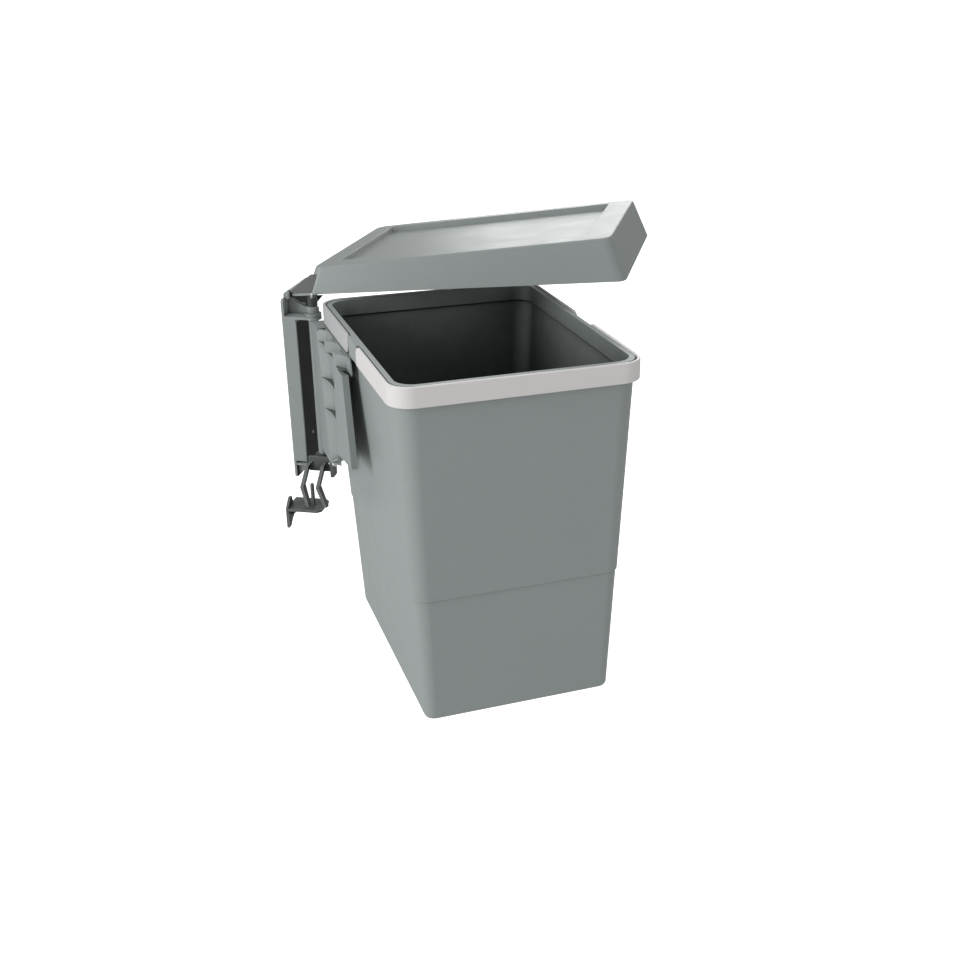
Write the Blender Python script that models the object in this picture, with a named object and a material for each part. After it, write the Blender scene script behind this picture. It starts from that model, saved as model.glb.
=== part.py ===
"""Swing-out waste bin for the inside of a cabinet, in metres, +Z up.

The origin is the centre of the wall plate's back face. +X points away from the cabinet's side wall, +Y into
the cabinet. The bin is shown swung out of the cabinet, with its lid lifted.
"""
import math

import bmesh
import bpy
from mathutils import Vector

# Swing: angle between the bin and the cabinet when swung out, and the way back to the closed place
OPEN_TURN = math.radians(30.0)
CLOSING_TURN = math.radians(60.0)
LID_LIFT = math.radians(4.85)

# Bin seen from its front: width, depth and height over the handles
BIN_WIDTH = 0.224
BIN_DEPTH = 0.294
BIN_HEIGHT = 0.3284
CORNER_RADIUS = 0.021
SIDE_DRAFT = 0.0174
END_DRAFT = 0.0125
FOOT_HEIGHT = 0.0020
FOOT_LENGTH = 0.026
FOOT_WIDTH = 0.010
FOOT_INSET = 0.008
BASE_CORNER = 0.012
BASE_ROUND = 0.003
BASE_ROUND_SHARE = 0.3
SEAM_HEIGHT = 0.126
SEAM_STEP = 0.001
BUCKET_WALL = 0.0022
RIM_DROP = 0.0005

# Handles: two bands that lie round the rim and turn on studs
HANDLE_HEIGHT = 0.0184
HANDLE_WALL = 0.003
HANDLE_GAP = 0.0011
RIM_THICK = 0.0046
RIM_BAND = 0.015
FRONT_ARM = 0.129
REAR_ARM = 0.131
FRONT_END_ROUND = 0.009
STUD_RADIUS = 0.0026
STUD_COVER = 0.0010
STUD_LENGTH = 0.0058
FRONT_STUD_Y = 0.1195
REAR_STUD_Y = 0.1728
BLOCK_FROM_Y = 0.1298
BLOCK_TO_Y = 0.1625
BLOCK_FACE = 0.0009
RIGHT_BLOCK_SET = 0.0018

# Clearances: parts that rest on each other, shafts in their bores, and the overrun of a cut
SEAT = 0.0003
RUNNING = 0.0002
OVERRUN = 0.002

# Swing axis: how far it lies outside the bin's left face and behind its front face
AXIS_OUT = 0.006
AXIS_BACK = 0.2965
PIN_RADIUS = 0.0016
PIN_TOP = 0.3350
PIN_HEAD_RADIUS = 0.003
PIN_HEAD_HEIGHT = 0.002
PIN_TIP = 0.0006
COLLAR_RADIUS = 0.0051
COLLAR_TOP = 0.3312

# Wall bracket, heights above the bin's base, X and Y from the swing axis
PLATE_THICK = 0.0025
PLATE_OUT = 0.0305
PLATE_FRONT = 0.007
PLATE_BACK = 0.062
PLATE_FOOT = 0.1395
PLATE_TOP = 0.3290
PLATE_ROUND = 0.003
SCREW_HOLE_RADIUS = 0.00225
SCREW_HOLE_FRONT = 0.018
SCREW_HOLE_BACK = 0.048
SCREW_HOLE_LOW = 0.170
SCREW_HOLE_HIGH = 0.296
FLANGE_REACH = 0.014
FLANGE_FOOT = 0.158
ARM_THICK = 0.0027
ARM_FOOT = 0.3093
ARM_BACK = 0.024
BOSS_RADIUS = 0.0082
GUSSET_THICK = 0.0025
GUSSET_FRONT = 0.0095
GUSSET_TOP = 0.3270
GUSSET_TIP_TOP = 0.3208
GUSSET_TIP = 0.0055
LIP_FOOT = 0.1530
LIP_THICK = 0.0025
LIP_RADIUS = 0.0065
LIP_BACK = 0.016
LOWER_GUSSET_REACH = 0.015
LOWER_GUSSET_FOOT = 0.141
LOWER_GUSSET_FRONT = 0.003

# Lid hinge on top of the wall plate
LID_AXIS_OUT = 0.0272
LID_AXIS_HEIGHT = 0.3320
EYE_RADIUS = 0.0027
LID_PIN_RADIUS = 0.0012
CHEEK_FOOT = 0.3255
CHEEK_FRONT = 0.0005
CHEEK_WIDTH = 0.0047
REAR_CHEEK_WIDTH = 0.004
LID_PIN_HEAD = 0.0012
LID_PIN_HEAD_RADIUS = 0.0024

# Cam ring on the carrier's neck, that lifts the lid
RING_TOP = 0.3223
NECK_RADIUS = 0.0041
RAMP_DROP = 0.00222
RAMP_HIGH = math.radians(100.0)
RAMP_LOW = math.radians(48.7)
RAMP_FLOOR = math.radians(10.0)
RAMP_END = math.radians(0.0)

# Lid, in its level place: U from its hinge axis, W above that axis
LID_FROM = 0.0240
LID_LENGTH = 0.3142
LID_FRONT = 0.0055
LID_BREADTH = 0.2160
LID_SKIRT = -0.0020
LID_NEAR_HEIGHT = 0.0248
LID_FAR_HEIGHT = 0.0412
LID_NEAR_DRAFT = 0.0100
LID_FREE_DRAFT = 0.0128
LID_FRONT_DRAFT = 0.0080
LID_BACK_DRAFT = 0.0130
LID_NEAR_SLANT = 0.0100
LID_ROUND = 0.004
LID_WALL = 0.002
DISH_NEAR = 0.0165
DISH_FREE = 0.0265
DISH_FRONT = 0.0230
DISH_BACK = 0.0110
DISH_DEPTH = 0.0050
DISH_SLOPE = 0.0030
LEDGE_FROM = 0.0045
LEDGE_FOOT = -0.0031
LEDGE_THICK = 0.0025
LEDGE_BACK = 0.0577
WEB_THICK = 0.0022
WEB_TOP_SHARE = 0.80
LIFTER_THICK = 0.0028
LIFTER_NECK = 0.0040
LIFTER_REACH = 0.0360
LIFTER_VERTEX = 0.0253
LIFTER_VERTEX_WIDTH = 0.0020
LIFTER_DEPTH = 0.01158
LIFTER_SHARES = ((0.258, 0.423), (0.464, 0.790), (0.808, 0.868), (1.0, 0.990))
LIFTER_TIP_SHARE = 1.0145

# Carrier along the bin's left side
BARREL_RADIUS = 0.0050
BARREL_FOOT = 0.1668
CARRIER_FACE = -0.0095
CARRIER_SKIN = 0.0020
CARRIER_RECESS = -0.0015
CARRIER_BACK_SKIN = 0.0013
CARRIER_TOP = 0.3090
CARRIER_TOP_THICK = 0.0022
CARRIER_TOP_EDGE = 0.0039
CARRIER_REAR_Y = 0.2885
CARRIER_FOOT = 0.177
TOP_SHELF = 0.2965
WALL_Y = 0.262
WALL_RUN = 0.0113
WALL_SKIN = 0.0024
WALL_LEAN_SHARE = 0.20
POST_Y = 0.2263
POST_WIDTH = 0.0057
STRIP_REAR_Y = 0.1880
STRIP_REAR_LEAN_SHARE = 0.095
STRIP_FRONT_Y = 0.149
STRIP_TIP_Y = 0.132
STRIP_FOOT = 0.203
STRIP_TIP_FOOT = 0.211
SHELF_FRONT = 0.196
BACK_FRONT_Y = 0.172
HOOK_BACK_Y = 0.177
HOOK_SHELF_Y = 0.165
HOOK_FRONT_Y = 0.147
HOOK_ROUND = 0.008
FLOOR_HEIGHTS = (0.2298, 0.2600)
FLOOR_THICK = 0.0018
FLOOR_SAG_SHARE = 0.07
SHELF_THICK = 0.0022
RAIL_FLOOR = 0.2812
RAIL_FLOOR_THICK = 0.0020
RAIL_LIP_FACE = 0.0030
RAIL_LIP_THICK = 0.0019
RAIL_LIP_HEIGHT = 0.0098
HANG_FACE = 0.0004
HANG_THICK = 0.0021
HANG_TOP = 0.2998
HANG_FOOT = 0.2838
HANG_BRIDGE = 0.0046
HANG_FRONT_Y = 0.202
RAIL_FRONT_Y = 0.200
HANG_REAR_Y = 0.283

# Fork lever under the carrier; each prong runs through places (X, Y, Z) of its front left edge
HUB_RADIUS = 0.0078
HUB_FOOT = 0.1585
HUB_THICK = 0.0080
PRONG_THICK = 0.0032
PRONG_DEPTH = 0.0090
PRONG_TIP_DEPTH = 0.0065
TIP_HEIGHT = 0.1186
BEND_HEIGHT = 0.1370
SHOULDER_HEIGHT = 0.1575
LEFT_TOP = (-0.0070, -0.0035)
LEFT_SHOULDER = (-0.0146, -0.0166)
LEFT_BEND = (-0.0185, -0.0270)
LEFT_TIP = (-0.0112, -0.0330)
RIGHT_TOP = (0.0060, -0.0035)
RIGHT_SHOULDER = (0.0018, -0.0166)
RIGHT_BEND = (-0.0018, -0.0270)
RIGHT_TIP = (0.0080, -0.0330)
WEB_LEFT = -0.0125
WEB_FRONT = -0.0108
WEB_SKIN = 0.0026
WEB_FOOT = 0.1500
LEG_FROM = 0.0103
LEG_THICK = 0.0026
LEG_TOP = 0.1700
LEG_FOOT = 0.1435
LEG_DEPTH = 0.014
LEG_CENTRE_Y = 0.006
CLAMP_RADIUS = 0.0016
CLAMP_HEAD_RADIUS = 0.0032
CLAMP_HEAD = 0.0022
CLAMP_HEIGHT = 0.1590
CLAMP_Y = -0.0105
CLAMP_SHANK = 0.0042
INDEX_RADIUS = 0.0012
INDEX_HEAD_RADIUS = 0.0019
INDEX_HEAD = 0.0012
INDEX_HEIGHT = 0.194
INDEX_Y = 0.2265

# Door bracket with its upright guide pin
GUIDE_RADIUS = 0.0020
GUIDE_TOP = 0.1425
GUIDE_X = -0.0052
GUIDE_Y = -0.027
GUIDE_HEAD = 0.0012
GUIDE_HEAD_RADIUS = 0.0036
DOOR_PLATE_TOP = 0.1180
DOOR_PLATE_THICK = 0.0026
DOOR_FLANGE_OUT = 0.0305
DOOR_FLANGE_THICK = 0.0025
DOOR_FLANGE_FOOT = 0.0965
DOOR_FLANGE_TOP = 0.1270
DOOR_BACK_Y = -0.0095
DOOR_FRONT_Y = -0.0410
DOOR_RIGHT = 0.0068
DOOR_ROUND = 0.004
DOOR_EAR_SHARES = (0.28, 0.43, 0.52)
DOOR_TOE_SHARES = (0.19, 0.37, 0.62)
DOOR_TOE_DROP_SHARES = (0.30, 0.55)
DOOR_HOLE_RADIUS = 0.0019
DOOR_HOLE_INSET_SHARES = (0.16, 0.36)
DOOR_HOLE_DROP_SHARES = (0.62, 0.34)
DOOR_RIB_REACH = 0.016
DOOR_RIB_DROP = 0.010

# Round shapes
ROUND_STEPS = 32
SMALL_STEPS = 20
CORNER_STEPS = 6

# Material values: colour, roughness, metallic
GREY_PLASTIC = ((0.33, 0.36, 0.355), 0.5, 0.0)
PALE_PLASTIC = ((0.55, 0.55, 0.545), 0.45, 0.0)
DARK_PLASTIC = ((0.035, 0.038, 0.038), 0.5, 0.0)
STEEL = ((0.60, 0.61, 0.62), 0.35, 1.0)

# Sizes worked out from those above
PLATE_INNER = -PLATE_OUT + PLATE_THICK
RIM_TOP = BIN_HEIGHT - RIM_DROP
BAND_FOOT = BIN_HEIGHT - HANDLE_HEIGHT
STUD_Z = BAND_FOOT + HANDLE_HEIGHT / 2
BODY_INSET = HANDLE_WALL + HANDLE_GAP
ARM_TOP = ARM_FOOT + ARM_THICK


def clear_scene():
    """Takes every object out of the scene."""
    for old in list(bpy.data.objects):
        bpy.data.objects.remove(old, do_unlink=True)


def paint(obj, name, look):
    """Gives an object a material of its own from (colour, roughness, metallic)."""
    colour, roughness, metallic = look
    skin = bpy.data.materials.new(name)
    skin.use_nodes = True
    shader = skin.node_tree.nodes["Principled BSDF"]
    shader.inputs["Base Color"].default_value = (*colour, 1.0)
    shader.inputs["Roughness"].default_value = roughness
    shader.inputs["Metallic"].default_value = metallic
    obj.data.materials.append(skin)


def frame(name, parent=None, place=(0, 0, 0), turn=(0, 0, 0)):
    """Adds an empty that carries pieces."""
    empty = bpy.data.objects.new(name, None)
    bpy.context.collection.objects.link(empty)
    empty.parent = parent
    empty.location = place
    empty.rotation_euler = turn
    return empty


def solid(name, shape, parent):
    """Turns a bmesh into an object with its faces pointing out."""
    bmesh.ops.recalc_face_normals(shape, faces=shape.faces)
    mesh = bpy.data.meshes.new(name)
    shape.to_mesh(mesh)
    shape.free()
    obj = bpy.data.objects.new(name, mesh)
    bpy.context.collection.objects.link(obj)
    obj.parent = parent
    return obj


def loft(name, rings, parent):
    """Skins a list of rings of equal length and closes both ends."""
    shape = bmesh.new()
    rows = [[shape.verts.new(point) for point in ring] for ring in rings]
    for low, high in zip(rows, rows[1:]):
        for i in range(len(low)):
            j = (i + 1) % len(low)
            shape.faces.new((low[i], low[j], high[j], high[i]))
    shape.faces.new(rows[0])
    shape.faces.new(rows[-1])
    return solid(name, shape, parent)


def placed(point, depth, axis):
    """A point of an outline, (u, v), set at a depth along X, Y or Z."""
    u, v = point
    return {"X": (depth, u, v), "Y": (u, depth, v), "Z": (u, v, depth)}[axis]


def slab(name, outline, low, high, axis, parent):
    """Extrudes an outline between two depths along an axis."""
    return loft(name, [[placed(p, depth, axis) for p in outline] for depth in (low, high)], parent)


def block(name, x_span, y_span, z_span, parent):
    """A box between two corners."""
    outline = [(x_span[0], y_span[0]), (x_span[1], y_span[0]), (x_span[1], y_span[1]), (x_span[0], y_span[1])]
    return slab(name, outline, z_span[0], z_span[1], "Z", parent)


def arc(centre, radius, start, end, steps):
    """Points along an arc, both ends included."""
    turn = [start + (end - start) * i / steps for i in range(steps + 1)]
    return [(centre[0] + radius * math.cos(a), centre[1] + radius * math.sin(a)) for a in turn]


def circle(centre, radius, steps=ROUND_STEPS):
    """Points round a circle."""
    return arc(centre, radius, 0.0, math.tau, steps)[:-1]


def rounded_box(x_span, y_span, radius, steps=CORNER_STEPS):
    """Outline of a rectangle with round corners, counterclockwise."""
    (x0, x1), (y0, y1) = x_span, y_span
    centres = [(x1 - radius, y0 + radius), (x1 - radius, y1 - radius),
               (x0 + radius, y1 - radius), (x0 + radius, y0 + radius)]
    points = []
    for i, centre in enumerate(centres):
        start = math.pi / 2 * (i - 1)
        points += arc(centre, radius, start, start + math.pi / 2, steps)
    return points


def rod(name, centre, radius, low, high, axis, parent, steps=ROUND_STEPS):
    """A round bar along an axis, about a centre in the other two directions."""
    bar = slab(name, circle(centre, radius, steps), low, high, axis, parent)
    return smooth(bar)


def turned(name, profile, centre, axis, parent, steps=ROUND_STEPS):
    """A turned piece from (radius, depth) pairs that start and end off the axis."""
    rings = [[placed(p, depth, axis) for p in circle(centre, radius, steps)] for radius, depth in profile]
    return smooth(loft(name, rings, parent))


def smooth(obj, angle=math.radians(35.0)):
    """Shades round faces smooth and keeps real edges sharp."""
    obj.data.shade_smooth()
    obj.data.set_sharp_from_angle(angle=angle)
    return obj


def combine(target, other, operation):
    """Adds a Boolean with a helper shape that is left out of the model."""
    other.hide_render = True
    other.display_type = "WIRE"
    step = target.modifiers.new(other.name, "BOOLEAN")
    step.operation = operation
    step.solver = "EXACT"
    step.object = other
    return target


def cut(target, *cutters):
    """Takes shapes away."""
    for cutter in cutters:
        combine(target, cutter, "DIFFERENCE")
    return target


def weld(target, *pieces):
    """Joins shapes to one body."""
    for piece in pieces:
        combine(target, piece, "UNION")
    return target


def build_wall_bracket(case):
    """Plate on the cabinet wall with its flange, the arm and lip that hold the swing pin, and the lid's cheeks."""
    plate = slab("wall_bracket",
                 rounded_box((-PLATE_FRONT, PLATE_BACK), (PLATE_FOOT, PLATE_TOP), PLATE_ROUND),
                 -PLATE_OUT, PLATE_INNER, "X", case)
    root = PLATE_INNER - PLATE_THICK / 2
    flange = block("bracket_flange", (root, -PLATE_OUT + FLANGE_REACH),
                   (-PLATE_FRONT, -PLATE_FRONT + PLATE_THICK), (FLANGE_FOOT, ARM_TOP), case)
    side = math.asin(PLATE_FRONT / BOSS_RADIUS)
    arm_outline = arc((0, 0), BOSS_RADIUS, -math.pi + side, math.pi / 3, ROUND_STEPS)
    arm_outline += [(root, ARM_BACK), (root, -PLATE_FRONT)]
    arm = slab("bracket_arm", arm_outline, ARM_FOOT, ARM_TOP, "Z", case)
    gusset = slab("bracket_gusset",
                  [(root, ARM_TOP - ARM_THICK / 2), (-GUSSET_TIP, ARM_TOP - ARM_THICK / 2),
                   (-GUSSET_TIP, GUSSET_TIP_TOP), (root, GUSSET_TOP)],
                  GUSSET_FRONT, GUSSET_FRONT + GUSSET_THICK, "Y", case)
    lip_outline = arc((0, 0), LIP_RADIUS, -math.pi / 2, math.pi / 3, ROUND_STEPS)
    lip_outline += [(root, LIP_BACK), (root, -LIP_RADIUS)]
    lip = slab("bracket_lip", lip_outline, LIP_FOOT, LIP_FOOT + LIP_THICK, "Z", case)
    tip = root + LOWER_GUSSET_REACH
    lower_gusset = slab("bracket_lower_gusset",
                        [(root, LOWER_GUSSET_FOOT), (tip, LIP_FOOT), (tip, LIP_FOOT + LIP_THICK / 2),
                         (root, LIP_FOOT + LIP_THICK / 2)],
                        -LOWER_GUSSET_FRONT, -LOWER_GUSSET_FRONT + GUSSET_THICK, "Y", case)
    weld(plate, flange, arm, gusset, lip, lower_gusset)
    cheek_outline = [(-LID_AXIS_OUT - EYE_RADIUS, CHEEK_FOOT + EYE_RADIUS), (PLATE_INNER, CHEEK_FOOT),
                     (-LID_AXIS_OUT + EYE_RADIUS, CHEEK_FOOT + EYE_RADIUS)]
    cheek_outline += arc((-LID_AXIS_OUT, LID_AXIS_HEIGHT), EYE_RADIUS, 0.0, math.pi, SMALL_STEPS // 2)
    rear_cheek = PLATE_BACK - REAR_CHEEK_WIDTH
    for label, start, width in (("front", CHEEK_FRONT, CHEEK_WIDTH), ("rear", rear_cheek, REAR_CHEEK_WIDTH)):
        weld(plate, slab(f"bracket_cheek_{label}", cheek_outline, start, start + width, "Y", case))
    neck_bore = rod("bracket_neck_bore", (0, 0), NECK_RADIUS + RUNNING, ARM_FOOT - OVERRUN, ARM_TOP + OVERRUN,
                    "Z", case)
    pin_bore = rod("bracket_pin_bore", (0, 0), PIN_RADIUS + RUNNING, LIP_FOOT - OVERRUN,
                   LIP_FOOT + LIP_THICK + OVERRUN, "Z", case, SMALL_STEPS)
    lid_bore = rod("bracket_lid_bore", (-LID_AXIS_OUT, LID_AXIS_HEIGHT), LID_PIN_RADIUS + RUNNING,
                   CHEEK_FRONT - OVERRUN, PLATE_BACK + OVERRUN, "Y", case, SMALL_STEPS)
    cut(plate, neck_bore, pin_bore, lid_bore)
    for y in (SCREW_HOLE_FRONT, SCREW_HOLE_BACK):
        for z in (SCREW_HOLE_LOW, SCREW_HOLE_HIGH):
            cut(plate, rod("bracket_screw_hole", (y, z), SCREW_HOLE_RADIUS, -PLATE_OUT - OVERRUN,
                           PLATE_INNER + OVERRUN, "X", case, SMALL_STEPS))
    paint(plate, "wall bracket plastic", GREY_PLASTIC)


def build_swing_pin(case):
    """Steel pin through lip, barrel, arm and ring, with the dark collar that caps the ring."""
    head_top = LIP_FOOT - SEAT
    pin = turned("hinge_pin",
                 [(PIN_HEAD_RADIUS, head_top - PIN_HEAD_HEIGHT), (PIN_HEAD_RADIUS, head_top),
                  (PIN_RADIUS, head_top), (PIN_RADIUS, PIN_TOP - PIN_TIP), (PIN_RADIUS - PIN_TIP, PIN_TOP)],
                 (0, 0), "Z", case, SMALL_STEPS)
    paint(pin, "hinge pin steel", STEEL)
    collar = rod("hinge_collar", (0, 0), COLLAR_RADIUS, RING_TOP + SEAT, COLLAR_TOP, "Z", case)
    cut(collar, rod("collar_bore", (0, 0), PIN_RADIUS + RUNNING, RING_TOP, COLLAR_TOP + OVERRUN, "Z", case,
                    SMALL_STEPS))
    paint(collar, "hinge collar plastic", DARK_PLASTIC)


def build_lid_pin(case):
    """Pin that the lid and its lifter turn on, with a head behind the rear cheek."""
    back = PLATE_BACK + SEAT
    pin = turned("lid_hinge_pin",
                 [(LID_PIN_RADIUS, CHEEK_FRONT), (LID_PIN_RADIUS, back), (LID_PIN_HEAD_RADIUS, back),
                  (LID_PIN_HEAD_RADIUS, back + LID_PIN_HEAD)],
                 (-LID_AXIS_OUT, LID_AXIS_HEIGHT), "Y", case, SMALL_STEPS)
    paint(pin, "lid hinge pin steel", STEEL)


def ramp_height(angle):
    """Height of the cam ring's top at an angle round it: high, then down the ramp to its floor."""
    low = RING_TOP - RAMP_DROP
    if angle > RAMP_HIGH or angle < RAMP_END:
        return RING_TOP
    if angle > RAMP_LOW:
        return low + RAMP_DROP * (angle - RAMP_LOW) / (RAMP_HIGH - RAMP_LOW)
    if angle > RAMP_FLOOR:
        return low
    return RING_TOP - RAMP_DROP * (angle - RAMP_END) / (RAMP_FLOOR - RAMP_END)


def build_cam_ring(swing):
    """Ring on the carrier's neck whose ramp lifts the lid; it is drawn in the cabinet's directions."""
    foot = ARM_TOP + SEAT
    turn = [math.tau * i / (2 * ROUND_STEPS) for i in range(2 * ROUND_STEPS)]
    inner, outer = NECK_RADIUS + RUNNING, BOSS_RADIUS
    corners = ((inner, True), (outer, True), (outer, False), (inner, False))
    shape = bmesh.new()
    rows = []
    for a in turn:
        spot = Vector((math.cos(a - OPEN_TURN), math.sin(a - OPEN_TURN)))
        rows.append([shape.verts.new((*(spot * radius), foot if low else ramp_height(a)))
                     for radius, low in corners])
    for i, row in enumerate(rows):
        after = rows[(i + 1) % len(rows)]
        for j in range(len(row)):
            k = (j + 1) % len(row)
            shape.faces.new((row[j], row[k], after[k], after[j]))
    ring = smooth(solid("cam_ring", shape, swing))
    paint(ring, "cam ring plastic", GREY_PLASTIC)


def lid_outline(insets, radius, heights):
    """A ring of the lid: insets from its near and free ends, its front and back, and its two end heights."""
    near, free, front, back = insets
    u_span = (LID_FROM + near, LID_FROM + LID_LENGTH - free)
    v_span = (LID_FRONT + front, LID_FRONT + LID_BREADTH - back)
    points = []
    for u, v in rounded_box(u_span, v_span, radius):
        along = (u - LID_FROM) / LID_LENGTH
        across = (v - LID_FRONT) / LID_BREADTH
        slant = LID_NEAR_SLANT * across * (1 - along)
        points.append((u + slant, v, heights[0] + (heights[1] - heights[0]) * along))
    return points


def build_lid(hinge):
    """Hollow lid with a sloping dished top, the ledge to its hinge and the web above the ledge."""
    drafts = (LID_NEAR_DRAFT, LID_FREE_DRAFT, LID_FRONT_DRAFT, LID_BACK_DRAFT)
    dish = (DISH_NEAR, DISH_FREE, DISH_FRONT, DISH_BACK)
    top = (LID_SKIRT + LID_NEAR_HEIGHT, LID_SKIRT + LID_FAR_HEIGHT)
    foot = (LID_SKIRT, LID_SKIRT)

    def grown(*pairs):
        return [sum(values) for values in zip(*pairs)]

    def lowered(extra):
        return [value - extra for value in top]

    wall = [LID_WALL] * len(drafts)
    rim = grown(drafts, dish)
    floor = grown(rim, [DISH_SLOPE] * len(rim))
    thin = LID_ROUND - LID_WALL / 2
    rings = [
        lid_outline(floor, LID_ROUND, lowered(DISH_DEPTH + LID_WALL)),
        lid_outline(grown(rim, [-LID_WALL / 2] * len(rim)), LID_ROUND, lowered(DISH_DEPTH + LID_WALL)),
        lid_outline(grown(rim, [-LID_WALL] * len(rim)), LID_ROUND, lowered(LID_WALL)),
        lid_outline(grown(drafts, wall), thin, lowered(LID_WALL)),
        lid_outline(wall, thin, foot),
        lid_outline([0] * len(drafts), LID_ROUND, foot),
        lid_outline(drafts, LID_ROUND, top),
        lid_outline(rim, LID_ROUND, top),
        lid_outline(floor, LID_ROUND, lowered(DISH_DEPTH)),
    ]
    lid = loft("lid", rings, hinge)
    ledge_top = LEDGE_FOOT + LEDGE_THICK
    ledge_front = LID_FRONT + SEAT
    ledge = block("lid_ledge", (LEDGE_FROM, LID_FROM + LID_WALL / 2), (ledge_front, LEDGE_BACK),
                  (LEDGE_FOOT, ledge_top), hinge)
    knuckle_front = LID_FRONT + LIFTER_THICK + SEAT + SEAT
    neck = block("lid_knuckle_neck", (0, LEDGE_FROM + LEDGE_THICK), (knuckle_front, LEDGE_BACK - SEAT),
                 (LEDGE_FOOT + EYE_RADIUS / 2, EYE_RADIUS / 2), hinge)
    knuckle = rod("lid_knuckle", (0, 0), EYE_RADIUS, knuckle_front, LEDGE_BACK, "Y", hinge, SMALL_STEPS)
    web_foot = ledge_top - LEDGE_THICK / 2
    corners = ((LEDGE_FROM + WEB_THICK / 2, web_foot, 0), (LID_FROM + LID_ROUND, web_foot, 0),
               (LID_FROM + LID_NEAR_DRAFT + LID_ROUND, LID_NEAR_HEIGHT * WEB_TOP_SHARE,
                LID_FRONT_DRAFT * WEB_TOP_SHARE))
    web = loft("lid_web", [[(u, ledge_front + lean + thick, w) for u, w, lean in corners]
                           for thick in (SEAT, WEB_THICK)], hinge)
    weld(lid, ledge, neck, knuckle, web)
    cut(lid, rod("lid_bore", (0, 0), LID_PIN_RADIUS + RUNNING, LID_FRONT - OVERRUN, LEDGE_BACK + OVERRUN, "Y",
                 hinge, SMALL_STEPS))
    paint(lid, "lid plastic", GREY_PLASTIC)


def build_lid_lifter(hinge):
    """Web under the ledge whose lowest point rides on the cam ring."""
    top = LEDGE_FOOT - SEAT
    reach, depth = LIFTER_VERTEX, LIFTER_DEPTH
    outline = arc((0, 0), EYE_RADIUS, math.pi / 2, math.pi * 3 / 2, SMALL_STEPS // 2)
    outline += [(reach * along, -depth * down) for along, down in LIFTER_SHARES]
    outline += [(reach + LIFTER_VERTEX_WIDTH, -depth * LIFTER_TIP_SHARE), (LIFTER_REACH, top), (LIFTER_NECK, top),
                (LIFTER_NECK, 0)]
    front = LID_FRONT + SEAT
    lifter = slab("lid_lifter", outline, front, front + LIFTER_THICK - SEAT, "Y", hinge)
    cut(lifter, rod("lifter_bore", (0, 0), LID_PIN_RADIUS + RUNNING, front - OVERRUN,
                    front + LIFTER_THICK + OVERRUN, "Y", hinge, SMALL_STEPS))
    paint(lifter, "lid lifter plastic", GREY_PLASTIC)


def body_ring(height, inset):
    """A ring of the bucket at a height, drawn in by its draft and an inset from its drafted wall."""
    share = (RIM_TOP - height) / RIM_TOP
    x_in = BODY_INSET + SIDE_DRAFT * share + inset
    y_in = BODY_INSET + END_DRAFT * share + inset
    corner = CORNER_RADIUS - (CORNER_RADIUS - BASE_CORNER) * share
    radius = max(corner - BODY_INSET / 2 - inset / 2, BUCKET_WALL)
    outline = rounded_box((x_in, BIN_WIDTH - x_in), (y_in, BIN_DEPTH - y_in), radius)
    return [(x, y, height) for x, y in outline]


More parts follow.
